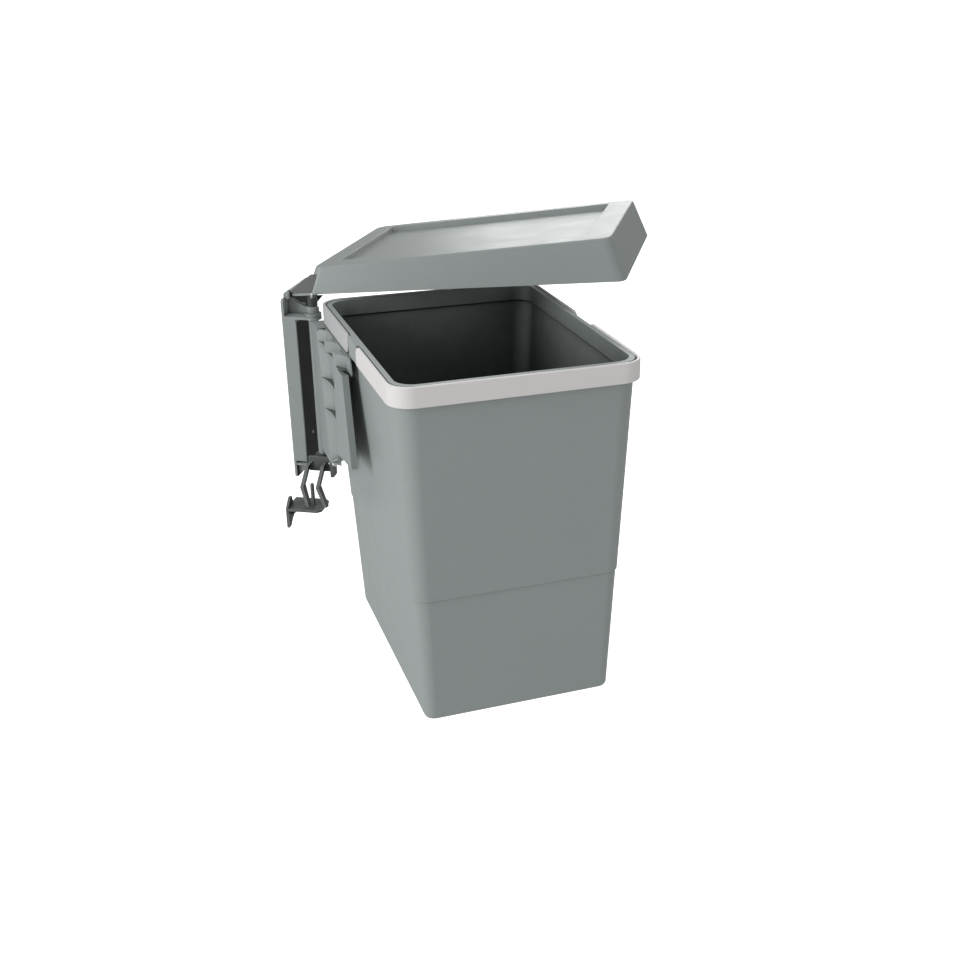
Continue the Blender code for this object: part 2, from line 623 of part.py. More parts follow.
def build_bucket(bin_frame):
    """Bucket with its thick rim, the step at its seam, the stud blocks, the hanging rail and four feet."""
    base = FOOT_HEIGHT
    band_foot = RIM_TOP - RIM_BAND
    step = SEAM_STEP
    rings = [
        body_ring(base + BUCKET_WALL, step + BUCKET_WALL + BASE_ROUND),
        body_ring(base + BUCKET_WALL + BASE_ROUND, step + BUCKET_WALL),
        body_ring(SEAM_HEIGHT, step + BUCKET_WALL),
        body_ring(SEAM_HEIGHT + step, BUCKET_WALL),
        body_ring(band_foot - BUCKET_WALL, BUCKET_WALL),
        body_ring(band_foot, RIM_THICK),
        body_ring(RIM_TOP, RIM_THICK),
        body_ring(RIM_TOP, 0),
        body_ring(SEAM_HEIGHT + step, 0),
        body_ring(SEAM_HEIGHT, step),
        body_ring(base + BASE_ROUND, step),
        body_ring(base + BASE_ROUND * BASE_ROUND_SHARE, step + BASE_ROUND * BASE_ROUND_SHARE),
        body_ring(base, step + BASE_ROUND),
    ]
    bucket = loft("bucket", rings, bin_frame)
    for side, face, foot in (("left", BLOCK_FACE, BAND_FOOT),
                             ("right", BIN_WIDTH - BLOCK_FACE - RIGHT_BLOCK_SET, BAND_FOOT)):
        root = BODY_INSET + RIM_THICK / 2
        span = (face, root) if side == "left" else (BIN_WIDTH - root, face)
        weld(bucket, block(f"stud_block_{side}", span, (BLOCK_FROM_Y, BLOCK_TO_Y),
                           (foot, RIM_TOP - RIGHT_BLOCK_SET * (side == "right")), bin_frame))
    wall_in = BODY_INSET + SIDE_DRAFT * (RIM_TOP - HANG_FOOT) / RIM_TOP
    bridge = block("hang_bridge", (HANG_FACE, wall_in + BUCKET_WALL / 2), (HANG_FRONT_Y, HANG_REAR_Y),
                   (HANG_TOP - HANG_BRIDGE, HANG_TOP), bin_frame)
    tongue = block("hang_tongue", (HANG_FACE, HANG_FACE + HANG_THICK), (HANG_FRONT_Y, HANG_REAR_Y),
                   (HANG_FOOT, HANG_TOP - HANG_BRIDGE / 2), bin_frame)
    weld(bucket, bridge, tongue)
    x_foot = BODY_INSET + SIDE_DRAFT + FOOT_INSET
    y_foot = BODY_INSET + END_DRAFT + FOOT_INSET
    for x_low in (x_foot, BIN_WIDTH - x_foot - FOOT_LENGTH):
        for y_low in (y_foot, BIN_DEPTH - y_foot - FOOT_WIDTH):
            weld(bucket, block("foot", (x_low, x_low + FOOT_LENGTH), (y_low, y_low + FOOT_WIDTH),
                               (0, base + BUCKET_WALL / 2), bin_frame))
    blind = STUD_COVER + STUD_LENGTH + SEAT + SEAT
    for y in (FRONT_STUD_Y, REAR_STUD_Y):
        for start, end in ((-OVERRUN, blind), (BIN_WIDTH - blind, BIN_WIDTH + OVERRUN)):
            cut(bucket, rod("stud_hole", (y, STUD_Z), STUD_RADIUS + RUNNING, start, end, "X", bin_frame,
                            SMALL_STEPS))
    paint(bucket, "bucket plastic", GREY_PLASTIC)


def handle_band(name, inner_y, outer_y, bin_frame):
    """A U-shaped band round one end of the rim, from its open ends at inner_y to its crossbar at outer_y."""
    ahead = 1 if inner_y > outer_y else -1

    def side(radius, inset):
        x0, x1 = inset, BIN_WIDTH - inset
        y_out = outer_y + inset * ahead
        left = arc((x0 + radius, y_out + radius * ahead), radius, math.pi, math.pi * 3 / 2, CORNER_STEPS)
        right = arc((x1 - radius, y_out + radius * ahead), radius, math.pi * 3 / 2, math.tau, CORNER_STEPS)
        points = [(x0, inner_y)] + left + right + [(x1, inner_y)]
        return [(x, y if ahead > 0 else 2 * (y_out + radius * ahead) - y) if 0 < i < len(points) - 1 else (x, y)
                for i, (x, y) in enumerate(points)]

    outline = side(CORNER_RADIUS, 0) + side(CORNER_RADIUS - HANDLE_WALL, HANDLE_WALL)[::-1]
    return slab(name, outline, BAND_FOOT, BIN_HEIGHT, "Z", bin_frame)


def build_handles(bin_frame):
    """Front and rear bands with rounded arm ends and a bore for each stud."""
    front = handle_band("front_handle", FRONT_ARM, 0.0, bin_frame)
    r = FRONT_END_ROUND
    start = (FRONT_ARM - r, BIN_HEIGHT - r)
    corner = arc(start, r, math.pi / 2, 0.0, CORNER_STEPS)
    corner += [(FRONT_ARM + OVERRUN, BIN_HEIGHT - r), (FRONT_ARM + OVERRUN, BIN_HEIGHT + OVERRUN),
               (FRONT_ARM - r, BIN_HEIGHT + OVERRUN)]
    cut(front, slab("front_handle_corner", corner, -OVERRUN, BIN_WIDTH + OVERRUN, "X", bin_frame))

    tip = BIN_DEPTH - REAR_ARM
    rear = handle_band("rear_handle", tip, BIN_DEPTH, bin_frame)
    r = HANDLE_HEIGHT / 2
    half = arc((tip + r, STUD_Z), r, math.pi / 2, math.pi * 3 / 2, 2 * CORNER_STEPS)
    half += [(tip + r, BAND_FOOT - OVERRUN), (tip - OVERRUN, BAND_FOOT - OVERRUN),
             (tip - OVERRUN, BIN_HEIGHT + OVERRUN), (tip + r, BIN_HEIGHT + OVERRUN)]
    cut(rear, slab("rear_handle_end", half, -OVERRUN, BIN_WIDTH + OVERRUN, "X", bin_frame))
    for band, y in ((front, FRONT_STUD_Y), (rear, REAR_STUD_Y)):
        cut(band, rod("handle_bore", (y, STUD_Z), STUD_RADIUS + RUNNING, STUD_COVER, BIN_WIDTH - STUD_COVER, "X",
                      bin_frame, SMALL_STEPS))
        paint(band, f"{band.name} plastic", PALE_PLASTIC)


def build_studs(bin_frame):
    """Four short studs that the handles turn on, hidden between each band and the rim."""
    for end, y in (("front", FRONT_STUD_Y), ("rear", REAR_STUD_Y)):
        for side, start in (("left", STUD_COVER + SEAT), ("right", BIN_WIDTH - STUD_COVER - SEAT - STUD_LENGTH)):
            stud = rod(f"handle_stud_{end}_{side}", (y, STUD_Z), STUD_RADIUS, start, start + STUD_LENGTH, "X",
                       bin_frame, SMALL_STEPS)
            paint(stud, f"handle stud {end} {side} plastic", PALE_PLASTIC)


def wall_y(z):
    """Where the recess's rear wall meets the carrier's outer face at a height."""
    return WALL_Y - WALL_LEAN_SHARE * (TOP_SHELF - z)


def strip_y(z):
    """Rear edge of the carrier's front strip at a height."""
    return STRIP_REAR_Y + STRIP_REAR_LEAN_SHARE * (TOP_SHELF - z)


def carrier_floor(name, z, front_y, rear_y, bin_frame):
    """A floor of the carrier's recess between two places, its outer edge a hollow curve."""
    sweep = rear_y - front_y
    sag = FLOOR_SAG_SHARE * sweep
    radius = (sweep * sweep / 4 + sag * sag) / (2 * sag)
    half = math.asin(sweep / 2 / radius)
    outline = arc((CARRIER_FACE + sag - radius, (rear_y + front_y) / 2), radius, -half, half, 2 * CORNER_STEPS)
    inner = CARRIER_RECESS + CARRIER_BACK_SKIN / 2
    overlap = CARRIER_SKIN / 2
    outline += [(CARRIER_FACE, rear_y + overlap), (inner, rear_y + overlap), (inner, front_y - overlap),
                (CARRIER_FACE, front_y - overlap)]
    return slab(name, outline, z, z + FLOOR_THICK, "Z", bin_frame)


def carrier_wall(name, outline_at, low, high, bin_frame):
    """A leaning upright wall of the carrier, from its outline at a height."""
    return loft(name, [[(x, y, z) for x, y in outline_at(z)] for z in (low, high)], bin_frame)


def build_carrier(bin_frame):
    """Ribbed arm along the bin's left side: hinge barrel, outer web, recess with floors, strip, hook and rail."""
    axis = (-AXIS_OUT, AXIS_BACK)
    skin = CARRIER_SKIN
    face = CARRIER_FACE
    inner = CARRIER_RECESS + CARRIER_BACK_SKIN / 2
    shelf_foot = TOP_SHELF - FLOOR_THICK
    under_top = CARRIER_TOP - skin / 2
    strip_top = TOP_SHELF - FLOOR_THICK / 2
    hook_end = arc((HOOK_FRONT_Y + HOOK_ROUND, CARRIER_TOP - HOOK_ROUND), HOOK_ROUND, math.pi / 2, math.pi,
                   CORNER_STEPS)
    back_wall = slab("swing_carrier",
                     [(CARRIER_REAR_Y, CARRIER_FOOT), (CARRIER_REAR_Y, CARRIER_TOP)] + hook_end
                     + [(HOOK_FRONT_Y, shelf_foot), (BACK_FRONT_Y, shelf_foot), (BACK_FRONT_Y, STRIP_FOOT),
                        (strip_y(STRIP_FOOT), STRIP_FOOT), (strip_y(STRIP_FOOT), SHELF_FRONT),
                        (wall_y(CARRIER_FOOT), CARRIER_FOOT)],
                     CARRIER_RECESS, CARRIER_RECESS + CARRIER_BACK_SKIN, "X", bin_frame)
    outer = slab("carrier_web",
                 [(AXIS_BACK, CARRIER_FOOT), (AXIS_BACK, under_top), (wall_y(under_top), under_top),
                  (wall_y(CARRIER_FOOT), CARRIER_FOOT)],
                 face, face + skin, "X", bin_frame)
    strip = slab("carrier_strip",
                 [(strip_y(strip_top) - skin / 2, strip_top), (STRIP_FRONT_Y, strip_top),
                  (STRIP_TIP_Y, STRIP_TIP_FOOT), (strip_y(STRIP_FOOT) - skin / 2, STRIP_FOOT)],
                 face, face + skin, "X", bin_frame)
    rear_rib = block("carrier_rib_rear", (face + skin / 2, inner), (CARRIER_REAR_Y - skin, CARRIER_REAR_Y),
                     (CARRIER_FOOT + skin / 2, under_top - skin / 2), bin_frame)
    mid_wall = carrier_wall("carrier_mid_wall", lambda z: [
        (face, wall_y(z)), (inner, wall_y(z) - WALL_RUN), (inner, wall_y(z) - WALL_RUN + WALL_SKIN),
        (face, wall_y(z) + WALL_SKIN)], CARRIER_FOOT, under_top, bin_frame)
    fore_wall = carrier_wall("carrier_fore_wall", lambda z: [
        (face, strip_y(z) - skin), (inner, strip_y(z) - skin), (inner, strip_y(z)), (face, strip_y(z))],
        STRIP_FOOT, strip_top, bin_frame)
    post = slab("carrier_post",
                [(face, POST_Y), (face, POST_Y - POST_WIDTH), (inner, POST_Y - POST_WIDTH - WALL_RUN),
                 (inner, POST_Y)], shelf_foot, under_top, "Z", bin_frame)
    hook_post = slab("carrier_hook_post",
                     [(face, STRIP_REAR_Y), (face, HOOK_BACK_Y), (inner, HOOK_BACK_Y - WALL_RUN),
                      (inner, STRIP_REAR_Y)], shelf_foot, under_top, "Z", bin_frame)
    hook_shelf = block("carrier_hook_shelf", (face, inner), (HOOK_SHELF_Y, STRIP_REAR_Y - skin / 2),
                       (shelf_foot, TOP_SHELF), bin_frame)
    top_plate = block("carrier_top", (CARRIER_RECESS, CARRIER_TOP_EDGE), (HOOK_FRONT_Y + HOOK_ROUND, CARRIER_REAR_Y),
                      (CARRIER_TOP - CARRIER_TOP_THICK, CARRIER_TOP), bin_frame)
    cap = block("carrier_cap", (face, inner), (WALL_Y, CARRIER_REAR_Y),
                (CARRIER_TOP - CARRIER_TOP_THICK, CARRIER_TOP), bin_frame)
    floors = [carrier_floor(f"carrier_floor_{i + 1}", z, strip_y(z), wall_y(z), bin_frame)
              for i, z in enumerate(FLOOR_HEIGHTS)]
    floors.append(carrier_floor("carrier_floor_top_rear", shelf_foot, POST_Y, WALL_Y, bin_frame))
    floors.append(carrier_floor("carrier_floor_top_front", shelf_foot, STRIP_REAR_Y, POST_Y - POST_WIDTH, bin_frame))
    shelf = slab("carrier_shelf",
                 [(wall_y(CARRIER_FOOT) + skin / 2, CARRIER_FOOT),
                  (wall_y(CARRIER_FOOT) + skin / 2, CARRIER_FOOT + SHELF_THICK),
                  (strip_y(STRIP_FOOT), SHELF_FRONT + SHELF_THICK), (strip_y(STRIP_FOOT), SHELF_FRONT)],
                 face, inner, "X", bin_frame)
    shelf_post = block("carrier_shelf_post", (face + skin / 2, inner),
                       (strip_y(STRIP_FOOT) - skin, strip_y(STRIP_FOOT)),
                       (SHELF_FRONT, STRIP_FOOT + skin), bin_frame)
    rail_floor = block("carrier_rail_floor", (inner, RAIL_LIP_FACE + RAIL_LIP_THICK),
                       (RAIL_FRONT_Y, CARRIER_REAR_Y), (RAIL_FLOOR, RAIL_FLOOR + RAIL_FLOOR_THICK), bin_frame)
    rail_lip = block("carrier_rail_lip", (RAIL_LIP_FACE, RAIL_LIP_FACE + RAIL_LIP_THICK),
                     (RAIL_FRONT_Y, CARRIER_REAR_Y),
                     (RAIL_FLOOR + RAIL_FLOOR_THICK / 2, RAIL_FLOOR + RAIL_FLOOR_THICK + RAIL_LIP_HEIGHT),
                     bin_frame)
    barrel = turned("carrier_barrel",
                    [(BARREL_RADIUS, BARREL_FOOT), (BARREL_RADIUS, ARM_FOOT - SEAT),
                     (NECK_RADIUS, ARM_FOOT - SEAT), (NECK_RADIUS, RING_TOP - SEAT)],
                    axis, "Z", bin_frame)
    weld(back_wall, outer, strip, rear_rib, mid_wall, fore_wall, post, hook_post, hook_shelf, top_plate, cap,
         *floors, shelf, shelf_post, rail_floor, rail_lip, barrel)
    cut(back_wall, rod("carrier_pin_bore", axis, PIN_RADIUS + RUNNING, BARREL_FOOT - OVERRUN,
                       RING_TOP + OVERRUN, "Z", bin_frame, SMALL_STEPS))
    cut(back_wall, rod("carrier_index_bore", (INDEX_Y, INDEX_HEIGHT), INDEX_RADIUS + RUNNING,
                       face - OVERRUN, CARRIER_RECESS + OVERRUN, "X", bin_frame, SMALL_STEPS))
    paint(back_wall, "carrier plastic", GREY_PLASTIC)


def build_index_pin(bin_frame):
    """Small bright pin in the carrier's lower shelf."""
    face = CARRIER_RECESS - SEAT
    pin = turned("carrier_index_pin",
                 [(INDEX_HEAD_RADIUS, face - INDEX_HEAD), (INDEX_HEAD_RADIUS, face),
                  (INDEX_RADIUS, face), (INDEX_RADIUS, CARRIER_RECESS + CARRIER_BACK_SKIN)],
                 (INDEX_Y, INDEX_HEIGHT), "X", bin_frame, SMALL_STEPS)
    paint(pin, "index pin steel", STEEL)


def prong(name, places, lever):
    """A prong of the fork: a flat bar through places (X, Y, depth, Z) of its front left edge."""
    rings = []
    for x, y, depth, z in places:
        rings.append([(x, y, z), (x + PRONG_THICK, y, z), (x + PRONG_THICK, y + depth, z), (x, y + depth, z)])
    return loft(name, rings, lever)


def build_fork_lever(lever):
    """Fork under the carrier: hub on the swing pin, web, two bent prongs and the clamp leg with its screw."""
    hub = rod("fork_lever", (0, 0), HUB_RADIUS, HUB_FOOT, HUB_FOOT + HUB_THICK, "Z", lever)
    crown = HUB_FOOT + HUB_THICK - SEAT
    for label, top, shoulder, bend, tip in (("left", LEFT_TOP, LEFT_SHOULDER, LEFT_BEND, LEFT_TIP),
                                            ("right", RIGHT_TOP, RIGHT_SHOULDER, RIGHT_BEND, RIGHT_TIP)):
        places = [(*top, PRONG_DEPTH, crown), (*shoulder, PRONG_DEPTH, SHOULDER_HEIGHT),
                  (*bend, PRONG_DEPTH, BEND_HEIGHT), (*tip, PRONG_TIP_DEPTH, TIP_HEIGHT)]
        weld(hub, prong(f"prong_{label}", places, lever))
    web = block("lever_web", (WEB_LEFT, LEG_FROM + LEG_THICK / 2), (WEB_FRONT, WEB_FRONT + WEB_SKIN),
                (WEB_FOOT, crown - SEAT), lever)
    leg_y = (-LEG_CENTRE_Y - LEG_DEPTH / 2, -LEG_CENTRE_Y + LEG_DEPTH / 2)
    leg = slab("lever_leg", rounded_box(leg_y, (LEG_FOOT, LEG_TOP), LEG_THICK), LEG_FROM, LEG_FROM + LEG_THICK,
               "X", lever)
    weld(hub, web, leg)
    bore = rod("lever_pin_bore", (0, 0), PIN_RADIUS + RUNNING, HUB_FOOT - OVERRUN,
               HUB_FOOT + HUB_THICK + OVERRUN, "Z", lever, SMALL_STEPS)
    clamp = rod("lever_clamp_bore", (CLAMP_Y, CLAMP_HEIGHT), CLAMP_RADIUS + RUNNING, LEG_FROM - OVERRUN,
                LEG_FROM + LEG_THICK + OVERRUN, "X", lever, SMALL_STEPS)
    cut(hub, bore, clamp)
    paint(hub, "fork lever plastic", GREY_PLASTIC)
    face = LEG_FROM + LEG_THICK + SEAT
    screw = turned("lever_clamp_screw",
                   [(CLAMP_HEAD_RADIUS, face + CLAMP_HEAD), (CLAMP_HEAD_RADIUS, face), (CLAMP_RADIUS, face),
                    (CLAMP_RADIUS, face - CLAMP_SHANK)],
                   (CLAMP_Y, CLAMP_HEIGHT), "X", lever, SMALL_STEPS)
    paint(screw, "clamp screw steel", STEEL)


def build_guide_pin(door):
    """Upright pin in the fork's slot, with a round top and a head under the door bracket."""
    under = DOOR_PLATE_TOP - DOOR_PLATE_THICK - SEAT
    pin = turned("guide_pin",
                 [(GUIDE_HEAD_RADIUS, under - GUIDE_HEAD), (GUIDE_HEAD_RADIUS, under), (GUIDE_RADIUS, under),
                  (GUIDE_RADIUS, GUIDE_TOP - GUIDE_RADIUS / 2), (GUIDE_RADIUS * 0.75, GUIDE_TOP - GUIDE_RADIUS / 8),
                  (GUIDE_RADIUS / 3, GUIDE_TOP)],
                 (0, 0), "Z", door, SMALL_STEPS)
    paint(pin, "guide pin plastic", GREY_PLASTIC)


def build_door_bracket(door):
    """Angle bracket for the cabinet door: flange on the door, plate out to the guide pin, rib under the plate."""
    left = -DOOR_FLANGE_OUT - GUIDE_X
    right = DOOR_RIGHT - GUIDE_X
    front, back = DOOR_FRONT_Y - GUIDE_Y, DOOR_BACK_Y - GUIDE_Y
    length = back - front
    under = DOOR_PLATE_TOP - DOOR_PLATE_THICK
    drop = under - DOOR_FLANGE_FOOT
    ear_from, ear_to, ear_end = [front + length * share for share in DOOR_EAR_SHARES]
    toe, heel, bow = [front + length * share for share in DOOR_TOE_SHARES]
    side = [(front, DOOR_FLANGE_FOOT), (toe, DOOR_FLANGE_FOOT),
            (heel, DOOR_FLANGE_FOOT + drop * DOOR_TOE_DROP_SHARES[0]),
            (bow, DOOR_FLANGE_FOOT + drop * DOOR_TOE_DROP_SHARES[1]), (back, under - DOOR_PLATE_THICK),
            (back, DOOR_PLATE_TOP), (ear_end, DOOR_PLATE_TOP), (ear_to, DOOR_FLANGE_TOP),
            (ear_from, DOOR_FLANGE_TOP), (front, DOOR_PLATE_TOP)]
    flange = slab("door_bracket", side, left, left + DOOR_FLANGE_THICK, "X", door)
    corner = DOOR_ROUND
    plate_outline = [(left + DOOR_FLANGE_THICK / 2, front), (right - corner, front), (right, front + corner),
                     (right, back - corner), (right - corner, back), (left + DOOR_FLANGE_THICK / 2, back)]
    plate = slab("door_plate", plate_outline, under, DOOR_PLATE_TOP, "Z", door)
    inner = left + DOOR_FLANGE_THICK / 2
    middle = under + DOOR_PLATE_THICK / 2
    rib = slab("door_rib", [(inner, middle - DOOR_RIB_DROP), (inner + DOOR_RIB_REACH, middle), (inner, middle)],
               (toe + heel) / 2, (toe + heel) / 2 + DOOR_FLANGE_THICK, "Y", door)
    weld(flange, plate, rib)
    cut(flange, rod("door_pin_bore", (0, 0), GUIDE_RADIUS + RUNNING, under - OVERRUN, DOOR_PLATE_TOP + OVERRUN,
                    "Z", door, SMALL_STEPS))
    places = zip(DOOR_HOLE_INSET_SHARES, DOOR_HOLE_DROP_SHARES)
    for i, (inset, fall) in enumerate(places):
        cut(flange, rod(f"door_screw_hole_{i + 1}", (front + length * inset, under - drop * fall),
                        DOOR_HOLE_RADIUS, left - OVERRUN, left + DOOR_FLANGE_THICK + OVERRUN, "X", door,
                        SMALL_STEPS))
    paint(flange, "door bracket plastic", GREY_PLASTIC)


def build():
    """Builds every piece on its frame."""
    clear_scene()
    middle_y = (PLATE_BACK - PLATE_FRONT) / 2
    middle_z = (PLATE_FOOT + PLATE_TOP) / 2
    case = frame("case_frame", None, (PLATE_OUT, -middle_y, -middle_z))
    swing = frame("swing_frame", case, (0, 0, 0), (0, 0, OPEN_TURN))
    bin_frame = frame("bin_frame", swing, (AXIS_OUT, -AXIS_BACK, 0))
    lid_hinge = frame("lid_frame", case, (-LID_AXIS_OUT, 0, LID_AXIS_HEIGHT), (0, -LID_LIFT, 0))
    lever = frame("lever_frame", swing, (0, 0, 0), (0, 0, -OPEN_TURN))
    door = frame("door_frame", lever, (GUIDE_X, GUIDE_Y, 0))
    build_wall_bracket(case)
    build_swing_pin(case)
    build_lid_pin(case)
    build_cam_ring(swing)
    build_lid(lid_hinge)
    build_lid_lifter(lid_hinge)
    build_bucket(bin_frame)
    build_handles(bin_frame)
    build_studs(bin_frame)
    build_carrier(bin_frame)
    build_index_pin(bin_frame)
    build_fork_lever(lever)
    build_guide_pin(door)
    build_door_bracket(door)


build()
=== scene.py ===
"""Dresses the swing-out cabinet waste bin.

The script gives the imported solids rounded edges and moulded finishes, makes the lid anew with its
softer corners, and sets up the camera, the soft light and the pale floor.
"""
import logging
import math
from dataclasses import dataclass, replace
from enum import Enum
from typing import Callable

import bmesh
import bpy
from mathutils import Matrix, Vector


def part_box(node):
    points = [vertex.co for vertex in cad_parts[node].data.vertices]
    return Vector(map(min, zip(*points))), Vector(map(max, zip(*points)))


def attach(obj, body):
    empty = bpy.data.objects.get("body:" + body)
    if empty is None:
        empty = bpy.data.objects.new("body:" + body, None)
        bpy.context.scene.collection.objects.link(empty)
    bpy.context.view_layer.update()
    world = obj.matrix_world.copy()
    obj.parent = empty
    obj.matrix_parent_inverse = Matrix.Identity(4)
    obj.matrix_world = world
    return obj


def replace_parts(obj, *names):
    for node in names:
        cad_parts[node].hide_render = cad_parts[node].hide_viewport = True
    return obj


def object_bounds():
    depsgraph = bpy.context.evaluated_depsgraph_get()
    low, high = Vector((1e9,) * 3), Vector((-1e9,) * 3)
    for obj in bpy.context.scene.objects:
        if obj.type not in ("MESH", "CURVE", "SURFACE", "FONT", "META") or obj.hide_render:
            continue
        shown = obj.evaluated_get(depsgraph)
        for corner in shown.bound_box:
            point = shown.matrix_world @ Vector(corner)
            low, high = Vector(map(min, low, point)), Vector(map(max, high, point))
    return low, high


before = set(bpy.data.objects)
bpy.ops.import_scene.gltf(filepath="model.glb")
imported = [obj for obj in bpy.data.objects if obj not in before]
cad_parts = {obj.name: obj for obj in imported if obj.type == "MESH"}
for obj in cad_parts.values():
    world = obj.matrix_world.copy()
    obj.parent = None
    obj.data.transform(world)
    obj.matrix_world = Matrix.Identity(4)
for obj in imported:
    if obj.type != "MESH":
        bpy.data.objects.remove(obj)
CAD_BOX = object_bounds()
log = logging.getLogger("waste_bin")

Colour = tuple[float, float, float]
Point = tuple[float, float, float]

# Lengths are in metres.
MM = 0.001
WELD_GAP = 0.002 * MM

# Faces that meet at less than the flat angle become one, edges over the sharp angle are rounded,
# and the light blends over edges under the shade angle.
FLAT_ANGLE = math.radians(1.2)
SHARP_ANGLE = math.radians(24)
SHADE_ANGLE = math.radians(40)

# Least upward part of a floor's normal, and least upward part of an upright edge, squared.
FACES_UP = 0.9
UPRIGHT = 0.5

# Segments across a rounded edge, on the large mouldings and on the small ones.
EDGE_STEPS = 3
FINE_STEPS = 2
QUAD_CORNERS = 4

# The colour sockets of a Mix node, which share their names with its other sockets.
MIX_LOW, MIX_HIGH, MIX_OUT = 6, 7, 2
WHITE = (1.0, 1.0, 1.0, 1.0)


class Slot(Enum):
    """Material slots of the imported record."""

    GREY = "grey_plastic"
    PALE = "pale_plastic"
    DARK = "dark_plastic"
    STEEL = "steel"


class Body(Enum):
    """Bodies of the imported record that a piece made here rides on."""

    WALL = "wall_side"
    CARRIER = "carrier"
    LID = "lid_body"
    BIN = "bin"
    DOOR = "door_side"


# ---------------------------------------------------------------- shared effects


class EffectGroup:
    """A shader node group with named inputs and outputs, built once and shared by the finishes."""

    def __init__(self, name: str, inputs: dict[str, float], outputs: tuple[str, ...]) -> None:
        """Makes the empty group.

        Args:
            name: Name of the group.
            inputs: Float inputs with their default values.
            outputs: Names of the float outputs.
        """
        self.tree = bpy.data.node_groups.new(name, "ShaderNodeTree")
        new_socket = self.tree.interface.new_socket
        new_socket("Place", in_out="INPUT", socket_type="NodeSocketVector")
        for label, value in inputs.items():
            socket = new_socket(label, in_out="INPUT", socket_type="NodeSocketFloat")
            socket.default_value = value
        for label in outputs:
            new_socket(label, in_out="OUTPUT", socket_type="NodeSocketFloat")
        self.enter = self.tree.nodes.new("NodeGroupInput")
        self.leave = self.tree.nodes.new("NodeGroupOutput")

    def node(self, kind: str, **settings: object) -> bpy.types.Node:
        """Adds a node.

        Args:
            kind: Blender's name of the node type.
            settings: Attributes to set on it.

        Returns:
            The node.
        """
        made = self.tree.nodes.new(kind)
        for key, value in settings.items():
            setattr(made, key, value)
        return made

    def join(self, source: bpy.types.NodeSocket, target: bpy.types.NodeSocket) -> None:
        """Links two sockets."""
        self.tree.links.new(source, target)

    def maths(self, operation: str, *values: object) -> bpy.types.NodeSocket:
        """Adds a math node.

        Args:
            operation: The math operation.
            values: Its values, each a socket or a number.

        Returns:
            The result's socket.
        """
        made = self.node("ShaderNodeMath", operation=operation)
        for socket, value in zip(made.inputs, values):
            if isinstance(value, bpy.types.NodeSocket):
                self.join(value, socket)
            else:
                socket.default_value = value
        return made.outputs[0]

    def clamp(self, value: bpy.types.NodeSocket) -> bpy.types.NodeSocket:
        """Keeps a value between 0 and 1.

        Args:
            value: The value's socket.

        Returns:
            The held value's socket.
        """
        held = self.node("ShaderNodeClamp")
        self.join(value, held.inputs["Value"])
        return held.outputs["Result"]

    def noise(self, scale: bpy.types.NodeSocket, detail: float,
              roughness: float) -> bpy.types.NodeSocket:
        """Adds a noise texture on the group's place.

        Args:
            scale: The socket of its scale, in cells per metre.
            detail: Octaves.
            roughness: Share of the finer octaves.

        Returns:
            The noise's value.
        """
        made = self.node("ShaderNodeTexNoise")
        self.join(self.enter.outputs["Place"], made.inputs["Vector"])
        self.join(scale, made.inputs["Scale"])
        made.inputs["Detail"].default_value = detail
        made.inputs["Roughness"].default_value = roughness
        return made.outputs["Fac"]


def make_mould_grain() -> EffectGroup:
    """Fine spark-eroded grain of a moulded face, with flatter patches.

    Returns:
        The group, with outputs Height and Mask.
    """
    cell_scale, cell_height = 0.8, 0.5
    patch_depth, least_depth = 0.5, 0.75
    group = EffectGroup("mould_grain", {"Scale": 1400.0, "Patch Scale": 45.0}, ("Height", "Mask"))
    fine = group.noise(group.enter.outputs["Scale"], detail=3.0, roughness=0.6)
    patch = group.noise(group.enter.outputs["Patch Scale"], detail=2.0, roughness=0.5)
    cells = group.node("ShaderNodeTexVoronoi", feature="SMOOTH_F1")
    group.join(group.enter.outputs["Place"], cells.inputs["Vector"])
    group.join(group.maths("MULTIPLY", group.enter.outputs["Scale"], cell_scale),
               cells.inputs["Scale"])
    bumps = group.maths("MULTIPLY", cells.outputs["Distance"], cell_height)
    mixed = group.maths("ADD", fine, bumps)
    level = group.maths("MULTIPLY_ADD", patch, patch_depth, least_depth)
    group.join(group.maths("MULTIPLY", mixed, level), group.leave.inputs["Height"])
    group.join(patch, group.leave.inputs["Mask"])
    return group


def make_flow_tone() -> EffectGroup:
    """Slow drift of the plastic's tone, with faint flow marks drawn out along the part.

    Returns:
        The group, with output Mask from 0 to 1.
    """
    broad_share, streak_share = 0.7, 0.3
    group = EffectGroup("flow_tone", {"Scale": 9.0, "Stretch": 5.0}, ("Mask",))
    broad = group.noise(group.enter.outputs["Scale"], detail=2.0, roughness=0.45)
    stretch = group.node("ShaderNodeMapping")
    join = group.node("ShaderNodeCombineXYZ")
    join.inputs["Y"].default_value = 1.0
    join.inputs["Z"].default_value = 1.0
    group.join(group.enter.outputs["Stretch"], join.inputs["X"])
    group.join(group.enter.outputs["Place"], stretch.inputs["Vector"])
    group.join(join.outputs["Vector"], stretch.inputs["Scale"])
    streak = group.node("ShaderNodeTexNoise")
    streak.inputs["Detail"].default_value = 1.0
    group.join(stretch.outputs["Vector"], streak.inputs["Vector"])
    group.join(group.enter.outputs["Scale"], streak.inputs["Scale"])
    marks = group.maths("MULTIPLY", streak.outputs["Fac"], streak_share)
    both = group.maths("MULTIPLY_ADD", broad, broad_share, marks)
    group.join(both, group.leave.inputs["Mask"])
    return group


